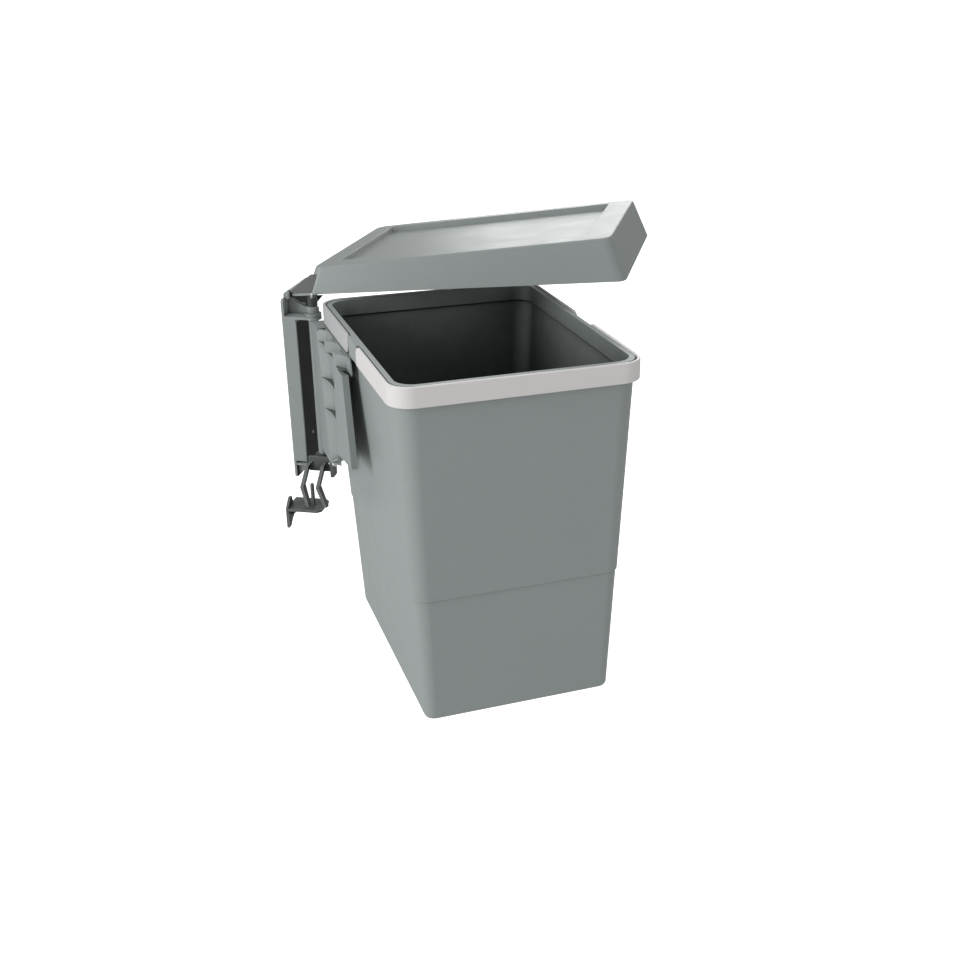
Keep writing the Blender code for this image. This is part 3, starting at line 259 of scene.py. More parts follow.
def make_hollow_shade() -> EffectGroup:
    """Painted shade that darkens the surface where it is closed in, found by ambient occlusion and
    made uneven by noise.

    Returns:
        The group, with output Mask: 0 in the open, 1 deep in a hollow.
    """
    patch_swing, patch_least = 0.3, 0.85
    group = EffectGroup("hollow_shade", {"Reach": 0.03, "Gain": 1.0, "Patch Scale": 60.0}, ("Mask",))
    closed = group.node("ShaderNodeAmbientOcclusion", samples=6, only_local=True)
    group.join(group.enter.outputs["Reach"], closed.inputs["Distance"])
    patch = group.noise(group.enter.outputs["Patch Scale"], detail=3.0, roughness=0.6)
    depth = group.maths("SUBTRACT", 1.0, closed.outputs["AO"])
    uneven = group.maths("MULTIPLY_ADD", patch, patch_swing, patch_least)
    deep = group.maths("MULTIPLY", depth, group.enter.outputs["Gain"])
    group.join(group.clamp(group.maths("MULTIPLY", deep, uneven)), group.leave.inputs["Mask"])
    return group


def make_edge_rub_and_highlight() -> EffectGroup:
    """Faint polish along outer edges, broken up by noise; at a high amount it is a painted
    highlight along lit edges.

    Returns:
        The group, with output Mask.
    """
    gain = 4.0
    group = EffectGroup("edge_rub_and_highlight", {"Radius": 0.0007, "Patch Scale": 180.0}, ("Mask",))
    rounded = group.node("ShaderNodeBevel", samples=4)
    plain = group.node("ShaderNodeNewGeometry")
    group.join(group.enter.outputs["Radius"], rounded.inputs["Radius"])
    turn = group.node("ShaderNodeVectorMath", operation="DOT_PRODUCT")
    group.join(rounded.outputs["Normal"], turn.inputs[0])
    group.join(plain.outputs["Normal"], turn.inputs[1])
    bend = group.maths("SUBTRACT", 1.0, turn.outputs["Value"])
    patch = group.noise(group.enter.outputs["Patch Scale"], detail=3.0, roughness=0.6)
    worn = group.maths("MULTIPLY", group.maths("MULTIPLY", bend, gain), patch)
    group.join(group.clamp(worn), group.leave.inputs["Mask"])
    return group


class Effects:
    """The shared effects, each built once."""

    def __init__(self) -> None:
        """Builds every group."""
        self.grain = make_mould_grain()
        self.tone = make_flow_tone()
        self.hollow = make_hollow_shade()
        self.rub_and_highlight = make_edge_rub_and_highlight()


# ---------------------------------------------------------------- finishes


@dataclass(frozen=True)
class Finish:
    """A surface finish: its colours, gloss, grain, the painted shade it takes in its hollows, and
    its edge polish, which turned up is a painted highlight.

    Reaches, radii and depths are in metres, and scales in cells per metre.
    """

    name: str
    slot: Slot
    colour: Colour
    drift_colour: Colour
    hollow_shade_colour: Colour
    rub_and_highlight_colour: Colour
    roughness: float
    roughness_swing: float = 0.06
    metallic: float = 0.0
    specular: float = 0.5
    grain_scale: float = 1400.0
    grain_depth: float = 0.00002
    tone_scale: float = 9.0
    # Painted shade in the hollows: how far it reaches, its gain and its share.
    hollow_reach: float = 0.03
    hollow_gain: float = 1.0
    hollow_amount: float = 1.0
    # Edge polish, which at a high amount is a painted highlight.
    rub_and_highlight_amount: float = 0.25
    rub_and_highlight_radius: float = 0.0007
    patch_scale: float = 45.0

    def build(self, effects: Effects) -> bpy.types.Material:
        """Makes the material.

        Args:
            effects: The shared node groups.

        Returns:
            The material.
        """
        made = bpy.data.materials.new(self.name)
        made.use_nodes = True
        tree = made.node_tree
        shader = tree.nodes["Principled BSDF"]
        place = tree.nodes.new("ShaderNodeTexCoord").outputs["Object"]

        def effect(group: EffectGroup, **values: float) -> bpy.types.Node:
            """Places a shared group with this finish's own values.

            Args:
                group: The shared group.
                values: Its inputs, with an underscore for each space.

            Returns:
                The group's node.
            """
            placed = tree.nodes.new("ShaderNodeGroup")
            placed.node_tree = group.tree
            tree.links.new(place, placed.inputs["Place"])
            for label, value in values.items():
                placed.inputs[label.replace("_", " ")].default_value = value
            return placed

        def blend(factor: bpy.types.NodeSocket, low: object, high: Colour,
                  amount: float) -> bpy.types.NodeSocket:
            """Mixes a colour over another by a mask and an amount.

            Args:
                factor: The mask.
                low: The colour under it, or its socket.
                high: The colour where the mask is 1.
                amount: Share of the mask that counts.

            Returns:
                The mixed colour's socket.
            """
            weight = tree.nodes.new("ShaderNodeMath")
            weight.operation = "MULTIPLY"
            weight.use_clamp = True
            weight.inputs[1].default_value = amount
            tree.links.new(factor, weight.inputs[0])
            mix = tree.nodes.new("ShaderNodeMix")
            mix.data_type = "RGBA"
            tree.links.new(weight.outputs[0], mix.inputs["Factor"])
            if isinstance(low, bpy.types.NodeSocket):
                tree.links.new(low, mix.inputs[MIX_LOW])
            else:
                mix.inputs[MIX_LOW].default_value = (*low, 1.0)
            mix.inputs[MIX_HIGH].default_value = (*high, 1.0)
            return mix.outputs[MIX_OUT]

        grain = effect(effects.grain, Scale=self.grain_scale, Patch_Scale=self.patch_scale)
        tone = effect(effects.tone, Scale=self.tone_scale)
        hollow = effect(effects.hollow, Reach=self.hollow_reach, Gain=self.hollow_gain)
        rub_and_highlight = effect(effects.rub_and_highlight, Radius=self.rub_and_highlight_radius)
        colour = blend(tone.outputs["Mask"], self.colour, self.drift_colour, 1.0)
        # Worn polish along the edges, and a painted highlight where its amount is high.
        colour = blend(rub_and_highlight.outputs["Mask"], colour, self.rub_and_highlight_colour, self.rub_and_highlight_amount)
        # Painted shade: the colour darkens towards the hollow shade colour where the surface is
        # closed in.
        colour = blend(hollow.outputs["Mask"], colour, self.hollow_shade_colour, self.hollow_amount)
        tree.links.new(colour, shader.inputs["Base Color"])
        swing = tree.nodes.new("ShaderNodeMapRange")
        swing.inputs["To Min"].default_value = self.roughness - self.roughness_swing
        swing.inputs["To Max"].default_value = self.roughness + self.roughness_swing
        tree.links.new(grain.outputs["Mask"], swing.inputs["Value"])
        tree.links.new(swing.outputs["Result"], shader.inputs["Roughness"])
        bump = tree.nodes.new("ShaderNodeBump")
        bump.inputs["Strength"].default_value = 1.0
        bump.inputs["Distance"].default_value = self.grain_depth
        tree.links.new(grain.outputs["Height"], bump.inputs["Height"])
        tree.links.new(bump.outputs["Normal"], shader.inputs["Normal"])
        shader.inputs["Metallic"].default_value = self.metallic
        shader.inputs["Specular IOR Level"].default_value = self.specular
        return made


GREY_BODY = Finish(
    "moulded_grey", Slot.GREY,
    colour=(0.285, 0.318, 0.312), drift_colour=(0.315, 0.348, 0.342),
    hollow_shade_colour=(0.020, 0.022, 0.022), rub_and_highlight_colour=(0.42, 0.45, 0.445),
    roughness=0.42)
# A darker copy of the moulded grey on the lid shell: painted shade on the lid, whose ledge and
# knuckle keep the body grey.
SHADED_LID_GREY = Finish(
    "moulded_grey_lid_shaded", Slot.GREY,
    colour=(0.226, 0.254, 0.249), drift_colour=(0.248, 0.276, 0.271),
    hollow_shade_colour=(0.020, 0.022, 0.022), rub_and_highlight_colour=(0.38, 0.41, 0.405),
    roughness=0.42)
GREY_BUCKET = Finish(
    "moulded_grey_bucket", Slot.GREY,
    colour=(0.275, 0.308, 0.302), drift_colour=(0.300, 0.333, 0.327),
    hollow_shade_colour=(0.020, 0.022, 0.022), rub_and_highlight_colour=(0.40, 0.43, 0.425),
    roughness=0.42, hollow_reach=0.012, hollow_amount=0.7, tone_scale=6.0)
# The bucket's inside: painted shade, with a long reach so that the inner walls and floor go dark.
SHADED_INSIDE = replace(
    GREY_BUCKET, name="bucket_inside_painted_shade", hollow_reach=0.22, hollow_gain=2.2, hollow_amount=1.0)
# A darker copy of the moulded grey on the wall bracket and carrier: painted shade.
SHADED_FRAME_GREY = Finish(
    "moulded_grey_frame_shaded", Slot.GREY,
    colour=(0.240, 0.268, 0.263), drift_colour=(0.265, 0.295, 0.289),
    hollow_shade_colour=(0.018, 0.020, 0.020), rub_and_highlight_colour=(0.42, 0.45, 0.445),
    roughness=0.48, hollow_reach=0.007, hollow_amount=0.9)
GREY_CHANNEL = Finish(
    "shaded_channel", Slot.GREY,
    colour=(0.018, 0.020, 0.0195), drift_colour=(0.028, 0.031, 0.030),
    hollow_shade_colour=(0.010, 0.011, 0.011), rub_and_highlight_colour=(0.06, 0.065, 0.064),
    roughness=0.6, hollow_reach=0.02, specular=0.1)
GREY_FLOOR = Finish(
    "shaded_floor", Slot.GREY,
    colour=(0.110, 0.122, 0.120), drift_colour=(0.135, 0.150, 0.147),
    hollow_shade_colour=(0.018, 0.020, 0.020), rub_and_highlight_colour=(0.30, 0.33, 0.32),
    roughness=0.5, hollow_reach=0.007)
# A paler copy of the frame grey: painted light on the gusset's front face, which lies in shade.
LIT_GUSSET_GREY = Finish(
    "gusset_painted_light", Slot.GREY,
    colour=(0.330, 0.367, 0.360), drift_colour=(0.350, 0.387, 0.380),
    hollow_shade_colour=(0.060, 0.066, 0.065), rub_and_highlight_colour=(0.42, 0.45, 0.445),
    roughness=0.48, hollow_reach=0.004, hollow_amount=0.4)
GREY_RING = Finish(
    "moulded_grey_ring", Slot.GREY,
    colour=(0.200, 0.222, 0.217), drift_colour=(0.230, 0.255, 0.249),
    hollow_shade_colour=(0.018, 0.020, 0.020), rub_and_highlight_colour=(0.38, 0.41, 0.40),
    roughness=0.44, hollow_reach=0.006, tone_scale=40.0)
# Darker grey of the small parts, taken darker still as painted shade on their sides, with strong
# edge polish as a painted highlight along their lit edges.
GREY_SMALL = Finish(
    "moulded_grey_small_shaded", Slot.GREY,
    colour=(0.060, 0.067, 0.065), drift_colour=(0.105, 0.116, 0.114),
    hollow_shade_colour=(0.014, 0.015, 0.015), rub_and_highlight_colour=(0.30, 0.33, 0.325),
    roughness=0.46,
    hollow_reach=0.016, hollow_gain=1.5, tone_scale=60.0, rub_and_highlight_amount=0.9, rub_and_highlight_radius=0.0016)
GREY_SHADED = Finish(
    "moulded_grey_shaded", Slot.GREY,
    colour=(0.066, 0.073, 0.071), drift_colour=(0.086, 0.095, 0.092),
    hollow_shade_colour=(0.014, 0.015, 0.015), rub_and_highlight_colour=(0.20, 0.22, 0.215),
    roughness=0.52, hollow_reach=0.012, tone_scale=40.0)
PALE_HANDLE = Finish(
    "pale_handle", Slot.PALE,
    colour=(0.680, 0.660, 0.652), drift_colour=(0.720, 0.700, 0.692),
    hollow_shade_colour=(0.12, 0.118, 0.118), rub_and_highlight_colour=(0.80, 0.79, 0.785),
    roughness=0.34, grain_scale=2200.0, grain_depth=0.000008, hollow_reach=0.004, hollow_amount=0.7)
# A darker, greyer copy of the handle plastic for the rear handle: painted shade where the lid
# shades it.
SHADED_REAR_HANDLE = Finish(
    "rear_handle_painted_shade", Slot.PALE,
    colour=(0.440, 0.443, 0.448), drift_colour=(0.500, 0.502, 0.507),
    hollow_shade_colour=(0.10, 0.10, 0.10), rub_and_highlight_colour=(0.66, 0.66, 0.665),
    roughness=0.38, grain_scale=1500.0, hollow_reach=0.004, hollow_amount=0.7)
DARK_COLLAR = Finish(
    "dark_collar", Slot.DARK,
    colour=(0.030, 0.033, 0.033), drift_colour=(0.042, 0.046, 0.046),
    hollow_shade_colour=(0.008, 0.009, 0.009), rub_and_highlight_colour=(0.10, 0.105, 0.105),
    roughness=0.36, tone_scale=60.0, hollow_reach=0.004)
TURNED_STEEL = Finish(
    "turned_steel", Slot.STEEL,
    colour=(0.72, 0.73, 0.74), drift_colour=(0.80, 0.81, 0.82),
    hollow_shade_colour=(0.14, 0.14, 0.14), rub_and_highlight_colour=(0.80, 0.80, 0.80),
    roughness=0.32,
    metallic=1.0, grain_scale=3000.0, grain_depth=0.000006, hollow_reach=0.004, hollow_amount=0.6)


# ---------------------------------------------------------------- making pieces


def round_edges(mesh: bmesh.types.BMesh, radius: float, steps: int = EDGE_STEPS,
                edges: list[bmesh.types.BMEdge] | None = None) -> None:
    """Rounds edges, by default every edge sharper than the sharp angle.

    Args:
        mesh: The mesh.
        radius: Radius of the rounded edges.
        steps: Segments across each rounded edge.
        edges: The edges, where they aren't all the sharp ones.
    """
    if edges is None:
        edges = [edge for edge in mesh.edges
                 if edge.is_manifold and edge.calc_face_angle(0.0) > SHARP_ANGLE]
    bmesh.ops.bevel(mesh, geom=edges, offset=radius, offset_type="OFFSET", segments=steps,
                    profile=0.5, affect="EDGES", clamp_overlap=True, material=-1, loop_slide=True)


def plate(outline: list[tuple[float, float]], low: float, high: float) -> bmesh.types.BMesh:
    """An upright plate with an outline in x and z, drawn through its thickness along y.

    Args:
        outline: Its corners, as x and z.
        low: Where the plate starts along y.
        high: Where it ends.

    Returns:
        The plate's mesh.
    """
    mesh = bmesh.new()
    face = mesh.faces.new([mesh.verts.new((x, low, z)) for x, z in outline])
    grown = bmesh.ops.extrude_face_region(mesh, geom=[face])["geom"]
    moved = [item for item in grown if isinstance(item, bmesh.types.BMVert)]
    bmesh.ops.translate(mesh, verts=moved, vec=(0.0, high - low, 0.0))
    bmesh.ops.recalc_face_normals(mesh, faces=mesh.faces)
    return mesh


class Workshop:
    """Makes, rounds and dresses the pieces, and keeps one material per finish."""

    def __init__(self) -> None:
        """Starts with no material made."""
        self.effects = Effects()
        self.made: dict[str, bpy.types.Material] = {}

    def material(self, finish: Finish) -> bpy.types.Material:
        """The finish's material, made the first time it is asked for.

        Args:
            finish: The finish.

        Returns:
            Its material.
        """
        if finish.name not in self.made:
            self.made[finish.name] = finish.build(self.effects)
        return self.made[finish.name]

    def dress(self, piece: bpy.types.Object, finish: Finish) -> None:
        """Puts a finish in all of a piece's material slots.

        Args:
            piece: The piece.
            finish: Its finish.
        """
        material = self.material(finish)
        if not piece.material_slots:
            piece.data.materials.append(material)
        for place in piece.material_slots:
            place.material = material
        log.info("dressed %s in %s", piece.name, finish.name)

    def dress_node(self, node: str, finish: Finish) -> None:
        """Puts a finish on a node that keeps its own shape."""
        self.dress(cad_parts[node], finish)

    def tint(self, piece: bpy.types.Object, finish: Finish,
             chosen: Callable[[bpy.types.MeshPolygon], bool]) -> None:
        """Gives chosen faces of a piece another finish.

        Args:
            piece: The piece.
            finish: The finish.
            chosen: Says which faces get it.
        """
        data = piece.data
        data.materials.append(self.material(finish))
        for face in data.polygons:
            if chosen(face):
                face.material_index = len(data.materials) - 1
        log.info("tinted faces of %s in %s", piece.name, finish.name)

    def tint_box(self, piece: bpy.types.Object, finish: Finish, low: Point, high: Point) -> None:
        """Gives the faces with their middle in a box another finish.

        Args:
            piece: The piece.
            finish: The finish.
            low: Low corner of the box.
            high: High corner of the box.
        """
        self.tint(piece, finish, lambda face: all(
            least <= place <= most for least, place, most in zip(low, face.center, high)))

    def add(self, name: str, mesh: bmesh.types.BMesh, finish: Finish,
            body: Body) -> bpy.types.Object:
        """Turns a worked mesh into a dressed piece on its body.

        Args:
            name: Name of the piece.
            mesh: Its mesh, which is freed.
            finish: Its finish.
            body: The body it rides on.

        Returns:
            The piece.
        """
        data = bpy.data.meshes.new(name)
        mesh.to_mesh(data)
        mesh.free()
        piece = bpy.data.objects.new(name, data)
        bpy.context.scene.collection.objects.link(piece)
        self.settle_light(data)
        self.dress(piece, finish)
        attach(piece, body.value)
        log.info("made %s: %d faces", name, len(data.polygons))
        return piece

    @staticmethod
    def settle_light(data: bpy.types.Mesh) -> None:
        """Keeps large faces flat in the light, so that only the rounded edges between them blend.

        Args:
            data: The mesh, which gets its own normals.
        """
        data.shade_smooth()
        around: list[list[bpy.types.MeshPolygon]] = [[] for _ in data.vertices]
        for face in data.polygons:
            for index in face.vertices:
                around[index].append(face)
        near = math.cos(SHADE_ANGLE)
        normals = []
        for face in data.polygons:
            own = face.normal.copy()
            for index in face.vertices:
                total = Vector()
                for other in around[index]:
                    if own.dot(other.normal) > near:
                        total += other.normal * other.area
                normals.append(total.normalized() if total.length > 0 else own)
        data.normals_split_custom_set(normals)

    def rounded(self, node: str, name: str, radius: float, finish: Finish, body: Body,
                steps: int = EDGE_STEPS,
                reshape: Callable[[bmesh.types.BMesh], None] | None = None) -> bpy.types.Object:
        """Rounds the sharp edges of a node's shape into a piece that stands for it.

        Args:
            node: The node.
            name: Name of the piece.
            radius: Radius of the rounded edges.
            finish: Its finish.
            body: The body it rides on.
            steps: Segments across each rounded edge.
            reshape: What is done to the shape before its edges are rounded.

        Returns:
            The piece.
        """
        mesh = bmesh.new()
        mesh.from_mesh(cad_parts[node].data)
        bmesh.ops.remove_doubles(mesh, verts=mesh.verts, dist=WELD_GAP)
        bmesh.ops.dissolve_limit(mesh, angle_limit=FLAT_ANGLE, use_dissolve_boundaries=False,
                                 verts=mesh.verts, edges=mesh.edges, delimit={"NORMAL"})
        bmesh.ops.dissolve_degenerate(mesh, dist=WELD_GAP, edges=mesh.edges)
        if reshape:
            reshape(mesh)
        round_edges(mesh, radius, steps)
        large = [face for face in mesh.faces if len(face.verts) > QUAD_CORNERS]
        bmesh.ops.triangulate(mesh, faces=large)
        bmesh.ops.recalc_face_normals(mesh, faces=mesh.faces)
        piece = self.add(name, mesh, finish, body)
        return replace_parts(piece, node)


# ---------------------------------------------------------------- sub-assemblies


@dataclass
class WallSide:
    """The bracket on the side wall, with the swing pin, its collar and the lid's hinge pin."""

    shop: Workshop
    edge: float = 0.35 * MM
    channel_low: Point = (2.3 * MM, -34.0 * MM, -95.0 * MM)
    channel_high: Point = (2.7 * MM, 35.0 * MM, 66.0 * MM)
    gusset_low: Point = (1.0 * MM, -18.2 * MM, 76.0 * MM)
    gusset_high: Point = (27.0 * MM, -17.6 * MM, 95.0 * MM)
    gusset_tip: float = 20.0 * MM
    gusset_thick: float = 2.8 * MM
    gusset_band: float = 12.0 * MM
    gusset_drop: float = 5.5 * MM

    def slope_gusset(self, mesh: bmesh.types.BMesh) -> None:
        """Lowers the free corner of the bracket's top web, so that it falls towards the swing pin.

        Args:
            mesh: The bracket's mesh.
        """
        front, back = self.gusset_low[1], self.gusset_high[1] + self.gusset_thick
        level = self.gusset_high[2] - self.gusset_band
        for vert in mesh.verts:
            if front < vert.co.y < back and vert.co.x > self.gusset_tip and vert.co.z > level:
                vert.co.z -= self.gusset_drop

    def build(self) -> None:
        """Makes and dresses the wall side."""
        bracket = self.shop.rounded("wall_bracket", "wall_bracket_moulding", self.edge, SHADED_FRAME_GREY,
                                    Body.WALL, FINE_STEPS, self.slope_gusset)
        self.shop.tint_box(bracket, GREY_CHANNEL, self.channel_low, self.channel_high)
        # The gusset's front face gets painted light.
        self.shop.tint_box(bracket, LIT_GUSSET_GREY, self.gusset_low, self.gusset_high)
        self.shop.dress_node("hinge_pin", TURNED_STEEL)
        self.shop.dress_node("hinge_collar", DARK_COLLAR)
        self.shop.dress_node("lid_hinge_pin", GREY_BODY)


@dataclass
class Carrier:
    """The arm that carries the bucket, with its cam ring, index pin, fork and clamp screw."""

    shop: Workshop
    edge: float = 0.3 * MM
    swing_axis: Point = (30.5 * MM, -27.5 * MM, 0.0)
    ring_flange: float = 3.0 * MM
    ring_hub: float = 0.76
    ring_bore: float = 6.0 * MM
    bin_corner: Point = (183.946 * MM, -281.277 * MM, -234.25 * MM)
    bin_turn: float = math.radians(30.0)
    strip_inside: tuple[float, float] = (-8.0 * MM, -7.0 * MM)
    strip_front: float = 150.0 * MM
    strip_foot: float = 200.0 * MM
    strip_lip: float = 4.0 * MM
    recess_low: Point = (-9.6 * MM, 150.0 * MM, 178.0 * MM)
    recess_high: Point = (-1.0 * MM, 262.0 * MM, 305.0 * MM)

    def in_bin(self, place: Vector) -> Vector:
        """A place in the bucket's directions, from its front left foot."""
        return Matrix.Rotation(-self.bin_turn, 3, "Z") @ (place - Vector(self.bin_corner))

    def is_recess_floor(self, face: bpy.types.MeshPolygon) -> bool:
        """Whether a face is the top of one of the small floors in the carrier's recess.

        Args:
            face: A face of the carrier.

        Returns:
            True for such a top.
        """
        reach = zip(self.recess_low, self.in_bin(face.center), self.recess_high)
        return face.normal.z > FACES_UP and all(least < at < most for least, at, most in reach)

    def deepen_strip(self, mesh: bmesh.types.BMesh) -> None:
        """Gives the carrier's strip a deeper front edge, which narrows the slot beside the bucket.

        Args:
            mesh: The carrier's mesh.
        """
        outward = Vector((math.cos(self.bin_turn), math.sin(self.bin_turn), 0.0))
        for vert in mesh.verts:
            place = self.in_bin(vert.co)
            inside = self.strip_inside[0] < place.x < self.strip_inside[1]
            if inside and place.y < self.strip_front and place.z > self.strip_foot:
                vert.co += outward * self.strip_lip

    def step_ring(self, mesh: bmesh.types.BMesh) -> None:
        """Narrows the cam ring over its foot flange.

        Args:
            mesh: The ring's mesh.
        """
        level = min(vert.co.z for vert in mesh.verts) + self.ring_flange
        for height in (level, level + self.edge):
            bmesh.ops.bisect_plane(mesh, geom=mesh.verts[:] + mesh.edges[:] + mesh.faces[:],
                                   plane_co=(0.0, 0.0, height), plane_no=(0.0, 0.0, 1.0))
        axis = Vector(self.swing_axis)
        for vert in mesh.verts:
            arm = vert.co - axis
            arm.z = 0.0
            if vert.co.z > level + self.edge / 2 and arm.length > self.ring_bore:
                vert.co -= arm * (1.0 - self.ring_hub)

    def build(self) -> None:
        """Makes and dresses the carrier."""
        carrier = self.shop.rounded("swing_carrier", "swing_carrier_moulding", self.edge,
                                    SHADED_FRAME_GREY, Body.CARRIER, FINE_STEPS, self.deepen_strip)
        self.shop.tint(carrier, GREY_FLOOR, self.is_recess_floor)
        self.shop.rounded("cam_ring", "cam_ring_moulding", self.edge, GREY_RING, Body.CARRIER,
                          FINE_STEPS, self.step_ring)
        self.shop.dress_node("carrier_index_pin", TURNED_STEEL)
        self.shop.rounded("fork_lever", "fork_lever_moulding", self.edge, GREY_SMALL, Body.CARRIER,
                          FINE_STEPS)
        self.shop.dress_node("lever_clamp_screw", TURNED_STEEL)


@dataclass
class Lid:
    """The lid with its sunk top, ledge, web and knuckle, and the lifter on the cam ring."""

    shop: Workshop
    hinge: Point = (3.3 * MM, -27.5 * MM, 97.75 * MM)
    lift: float = math.radians(4.85)
    start: float = 17.5 * MM
    length: float = 320.7 * MM
    front: float = 5.5 * MM
    breadth: float = 216.0 * MM
    skirt: float = -2.0 * MM
    near_height: float = 24.8 * MM
    far_height: float = 41.2 * MM
    near_slant: float = 10.0 * MM
    drafts: tuple[float, float, float, float] = (10.0 * MM, 12.8 * MM, 8.0 * MM, 13.0 * MM)
    dish: tuple[float, float, float, float] = (20.5 * MM, 26.5 * MM, 23.0 * MM, 11.0 * MM)
    dish_depth: float = 5.0 * MM
    dish_slope: float = 3.0 * MM
    corner: float = 9.0 * MM
    corner_steps: int = 8
    dish_corner: float = 0.3
    edge: float = 1.5 * MM
    dish_edge: float = 0.5 * MM
    wall: float = 2.0 * MM
    ledge_from: float = 4.5 * MM
    ledge_corners: float = 1.4
    ledge_foot: float = -3.1 * MM
    ledge_thick: float = 2.5 * MM
    ledge_back: float = 57.7 * MM
    eye: float = 2.7 * MM
    eye_sides: int = 32
    knuckle_front: float = 8.9 * MM
    web_thick: float = 2.2 * MM
    web_share: float = 0.66
    seat: float = 0.3 * MM
    small_edge: float = 0.35 * MM

    def place(self, insets: tuple[float, ...], drop: float, along: bool, across: bool,
              top: bool) -> Vector:
        """A corner of the lid in its hinge's directions.

        Args:
            insets: Insets from the near and free ends, the front and the back.
            drop: How far the corner lies under the sloping top.
            along: Whether it is at the free end.
            across: Whether it is at the back.
            top: Whether it is on the top.

        Returns:
            The corner.
        """
        u = self.start + (self.length - insets[1] if along else insets[0])
        v = self.front + (self.breadth - insets[3] if across else insets[2])
        far, back = (u - self.start) / self.length, (v - self.front) / self.breadth
        height = self.skirt
        if top:
            height += self.near_height + (self.far_height - self.near_height) * far - drop
        return Vector((u + self.near_slant * back * (1.0 - far), v, height))

    def settle(self, mesh: bmesh.types.BMesh) -> bmesh.types.BMesh:
        """Turns and moves a mesh from the hinge's directions to its place.

        Args:
            mesh: The mesh.

        Returns:
            The same mesh.
        """
        turn = Matrix.Translation(self.hinge) @ Matrix.Rotation(-self.lift, 4, "Y")
        bmesh.ops.transform(mesh, matrix=turn, verts=mesh.verts)
        return mesh

    def inset_to(self, mesh: bmesh.types.BMesh, face: bmesh.types.BMFace, old: tuple[float, ...],
                 new: tuple[float, ...], share: float, drop: float) -> None:
        """Insets the top face and puts its corner arcs in their places.

        Args:
            mesh: The lid's mesh.
            face: The top face.
            old: Insets of its corners before.
            new: Insets of its corners after.
            share: Size of a corner arc after, as a share of its size before.
            drop: How far the corners lie under the top.
        """
        bmesh.ops.inset_individual(mesh, faces=[face], thickness=0.0)
        middle = face.calc_center_median()
        incline = (self.far_height - self.near_height) / self.length
        for vert in face.verts:
            end, back = vert.co.x > middle.x, vert.co.y > middle.y
            step = (vert.co - self.place(old, 0.0, end, back, True)) * share
            step.z = step.x * incline
            vert.co = self.place(new, drop, end, back, True) + step

    def build_shell(self) -> None:
        """Makes the hollow lid with its sloping sunk top."""
        mesh = bmesh.new()
        bmesh.ops.create_cube(mesh, size=1.0)
        none = (0.0, 0.0, 0.0, 0.0)
        for vert in mesh.verts:
            along, across, top = (at > 0 for at in vert.co)
            vert.co = self.place(self.drafts if top else none, 0.0, along, across, top)
        faces = sorted(mesh.faces, key=lambda face: face.calc_center_median().z)
        bmesh.ops.delete(mesh, geom=[faces[0]], context="FACES_ONLY")
        uprights = [edge for edge in mesh.edges
                    if (edge.verts[0].co - edge.verts[1].co).normalized().z ** 2 > UPRIGHT]
        round_edges(mesh, self.corner, self.corner_steps, uprights)
        top_face = max(mesh.faces, key=lambda face: face.calc_center_median().z)
        outer = list(top_face.edges)
        rim = tuple(draft + dish for draft, dish in zip(self.drafts, self.dish))
        floor = tuple(inset + self.dish_slope for inset in rim)
        self.inset_to(mesh, top_face, self.drafts, rim, self.dish_corner, 0.0)
        inner = list(top_face.edges)
        self.inset_to(mesh, top_face, rim, floor, 1.0, self.dish_depth)
        inner += top_face.edges
        round_edges(mesh, self.dish_edge, EDGE_STEPS, inner)
        round_edges(mesh, self.edge, EDGE_STEPS, [edge for edge in outer if edge.is_valid])
        bmesh.ops.recalc_face_normals(mesh, faces=mesh.faces)
        bmesh.ops.solidify(mesh, geom=mesh.faces, thickness=self.wall)
        bmesh.ops.recalc_face_normals(mesh, faces=mesh.faces)
        shell = self.shop.add("lid_moulding", self.settle(mesh), SHADED_LID_GREY, Body.LID)
        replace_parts(shell, "lid")

    def build_hinge_side(self) -> None:
        """Makes the ledge, the web over it and the knuckle round the hinge pin."""
        ledge_end = self.start + self.corner * self.ledge_corners
        foot = self.ledge_foot + self.ledge_thick
        front = self.front + self.seat
        ledge = plate([(self.ledge_from, self.ledge_foot), (ledge_end, self.ledge_foot),
                       (ledge_end, foot), (self.ledge_from, foot)], front, self.ledge_back)
        round_edges(ledge, self.small_edge)
        self.shop.add("lid_ledge", self.settle(ledge), GREY_BODY, Body.LID)
        head = self.start + self.near_slant * self.web_share
        top = self.near_height * self.web_share
        web = plate([(self.ledge_from, foot), (self.ledge_from - self.web_thick, foot + self.eye),
                     (head, top), (head + self.corner, top), (self.start + self.corner, foot)],
                    front, front + self.web_thick)
        for vert in web.verts:
            vert.co.y += self.drafts[2] * max(0.0, vert.co.z - self.skirt) / self.near_height
        round_edges(web, self.small_edge, FINE_STEPS)
        self.shop.add("lid_web", self.settle(web), GREY_SHADED, Body.LID)
        knuckle = bmesh.new()
        bmesh.ops.create_cone(knuckle, cap_ends=True, segments=self.eye_sides, radius1=self.eye,
                              radius2=self.eye, depth=self.ledge_back - self.knuckle_front)
        bmesh.ops.rotate(knuckle, verts=knuckle.verts, matrix=Matrix.Rotation(math.pi / 2, 3, "X"))
        middle = (self.ledge_back + self.knuckle_front) / 2
        bmesh.ops.translate(knuckle, verts=knuckle.verts, vec=(0.0, middle, 0.0))
        round_edges(knuckle, self.small_edge)
        self.shop.add("lid_knuckle", self.settle(knuckle), GREY_BODY, Body.LID)

    def build(self) -> None:
        """Makes and dresses the lid and its lifter."""
        self.build_shell()
        self.build_hinge_side()
        self.shop.rounded("lid_lifter", "lid_lifter_moulding", self.small_edge, GREY_CHANNEL,
                          Body.LID, FINE_STEPS)


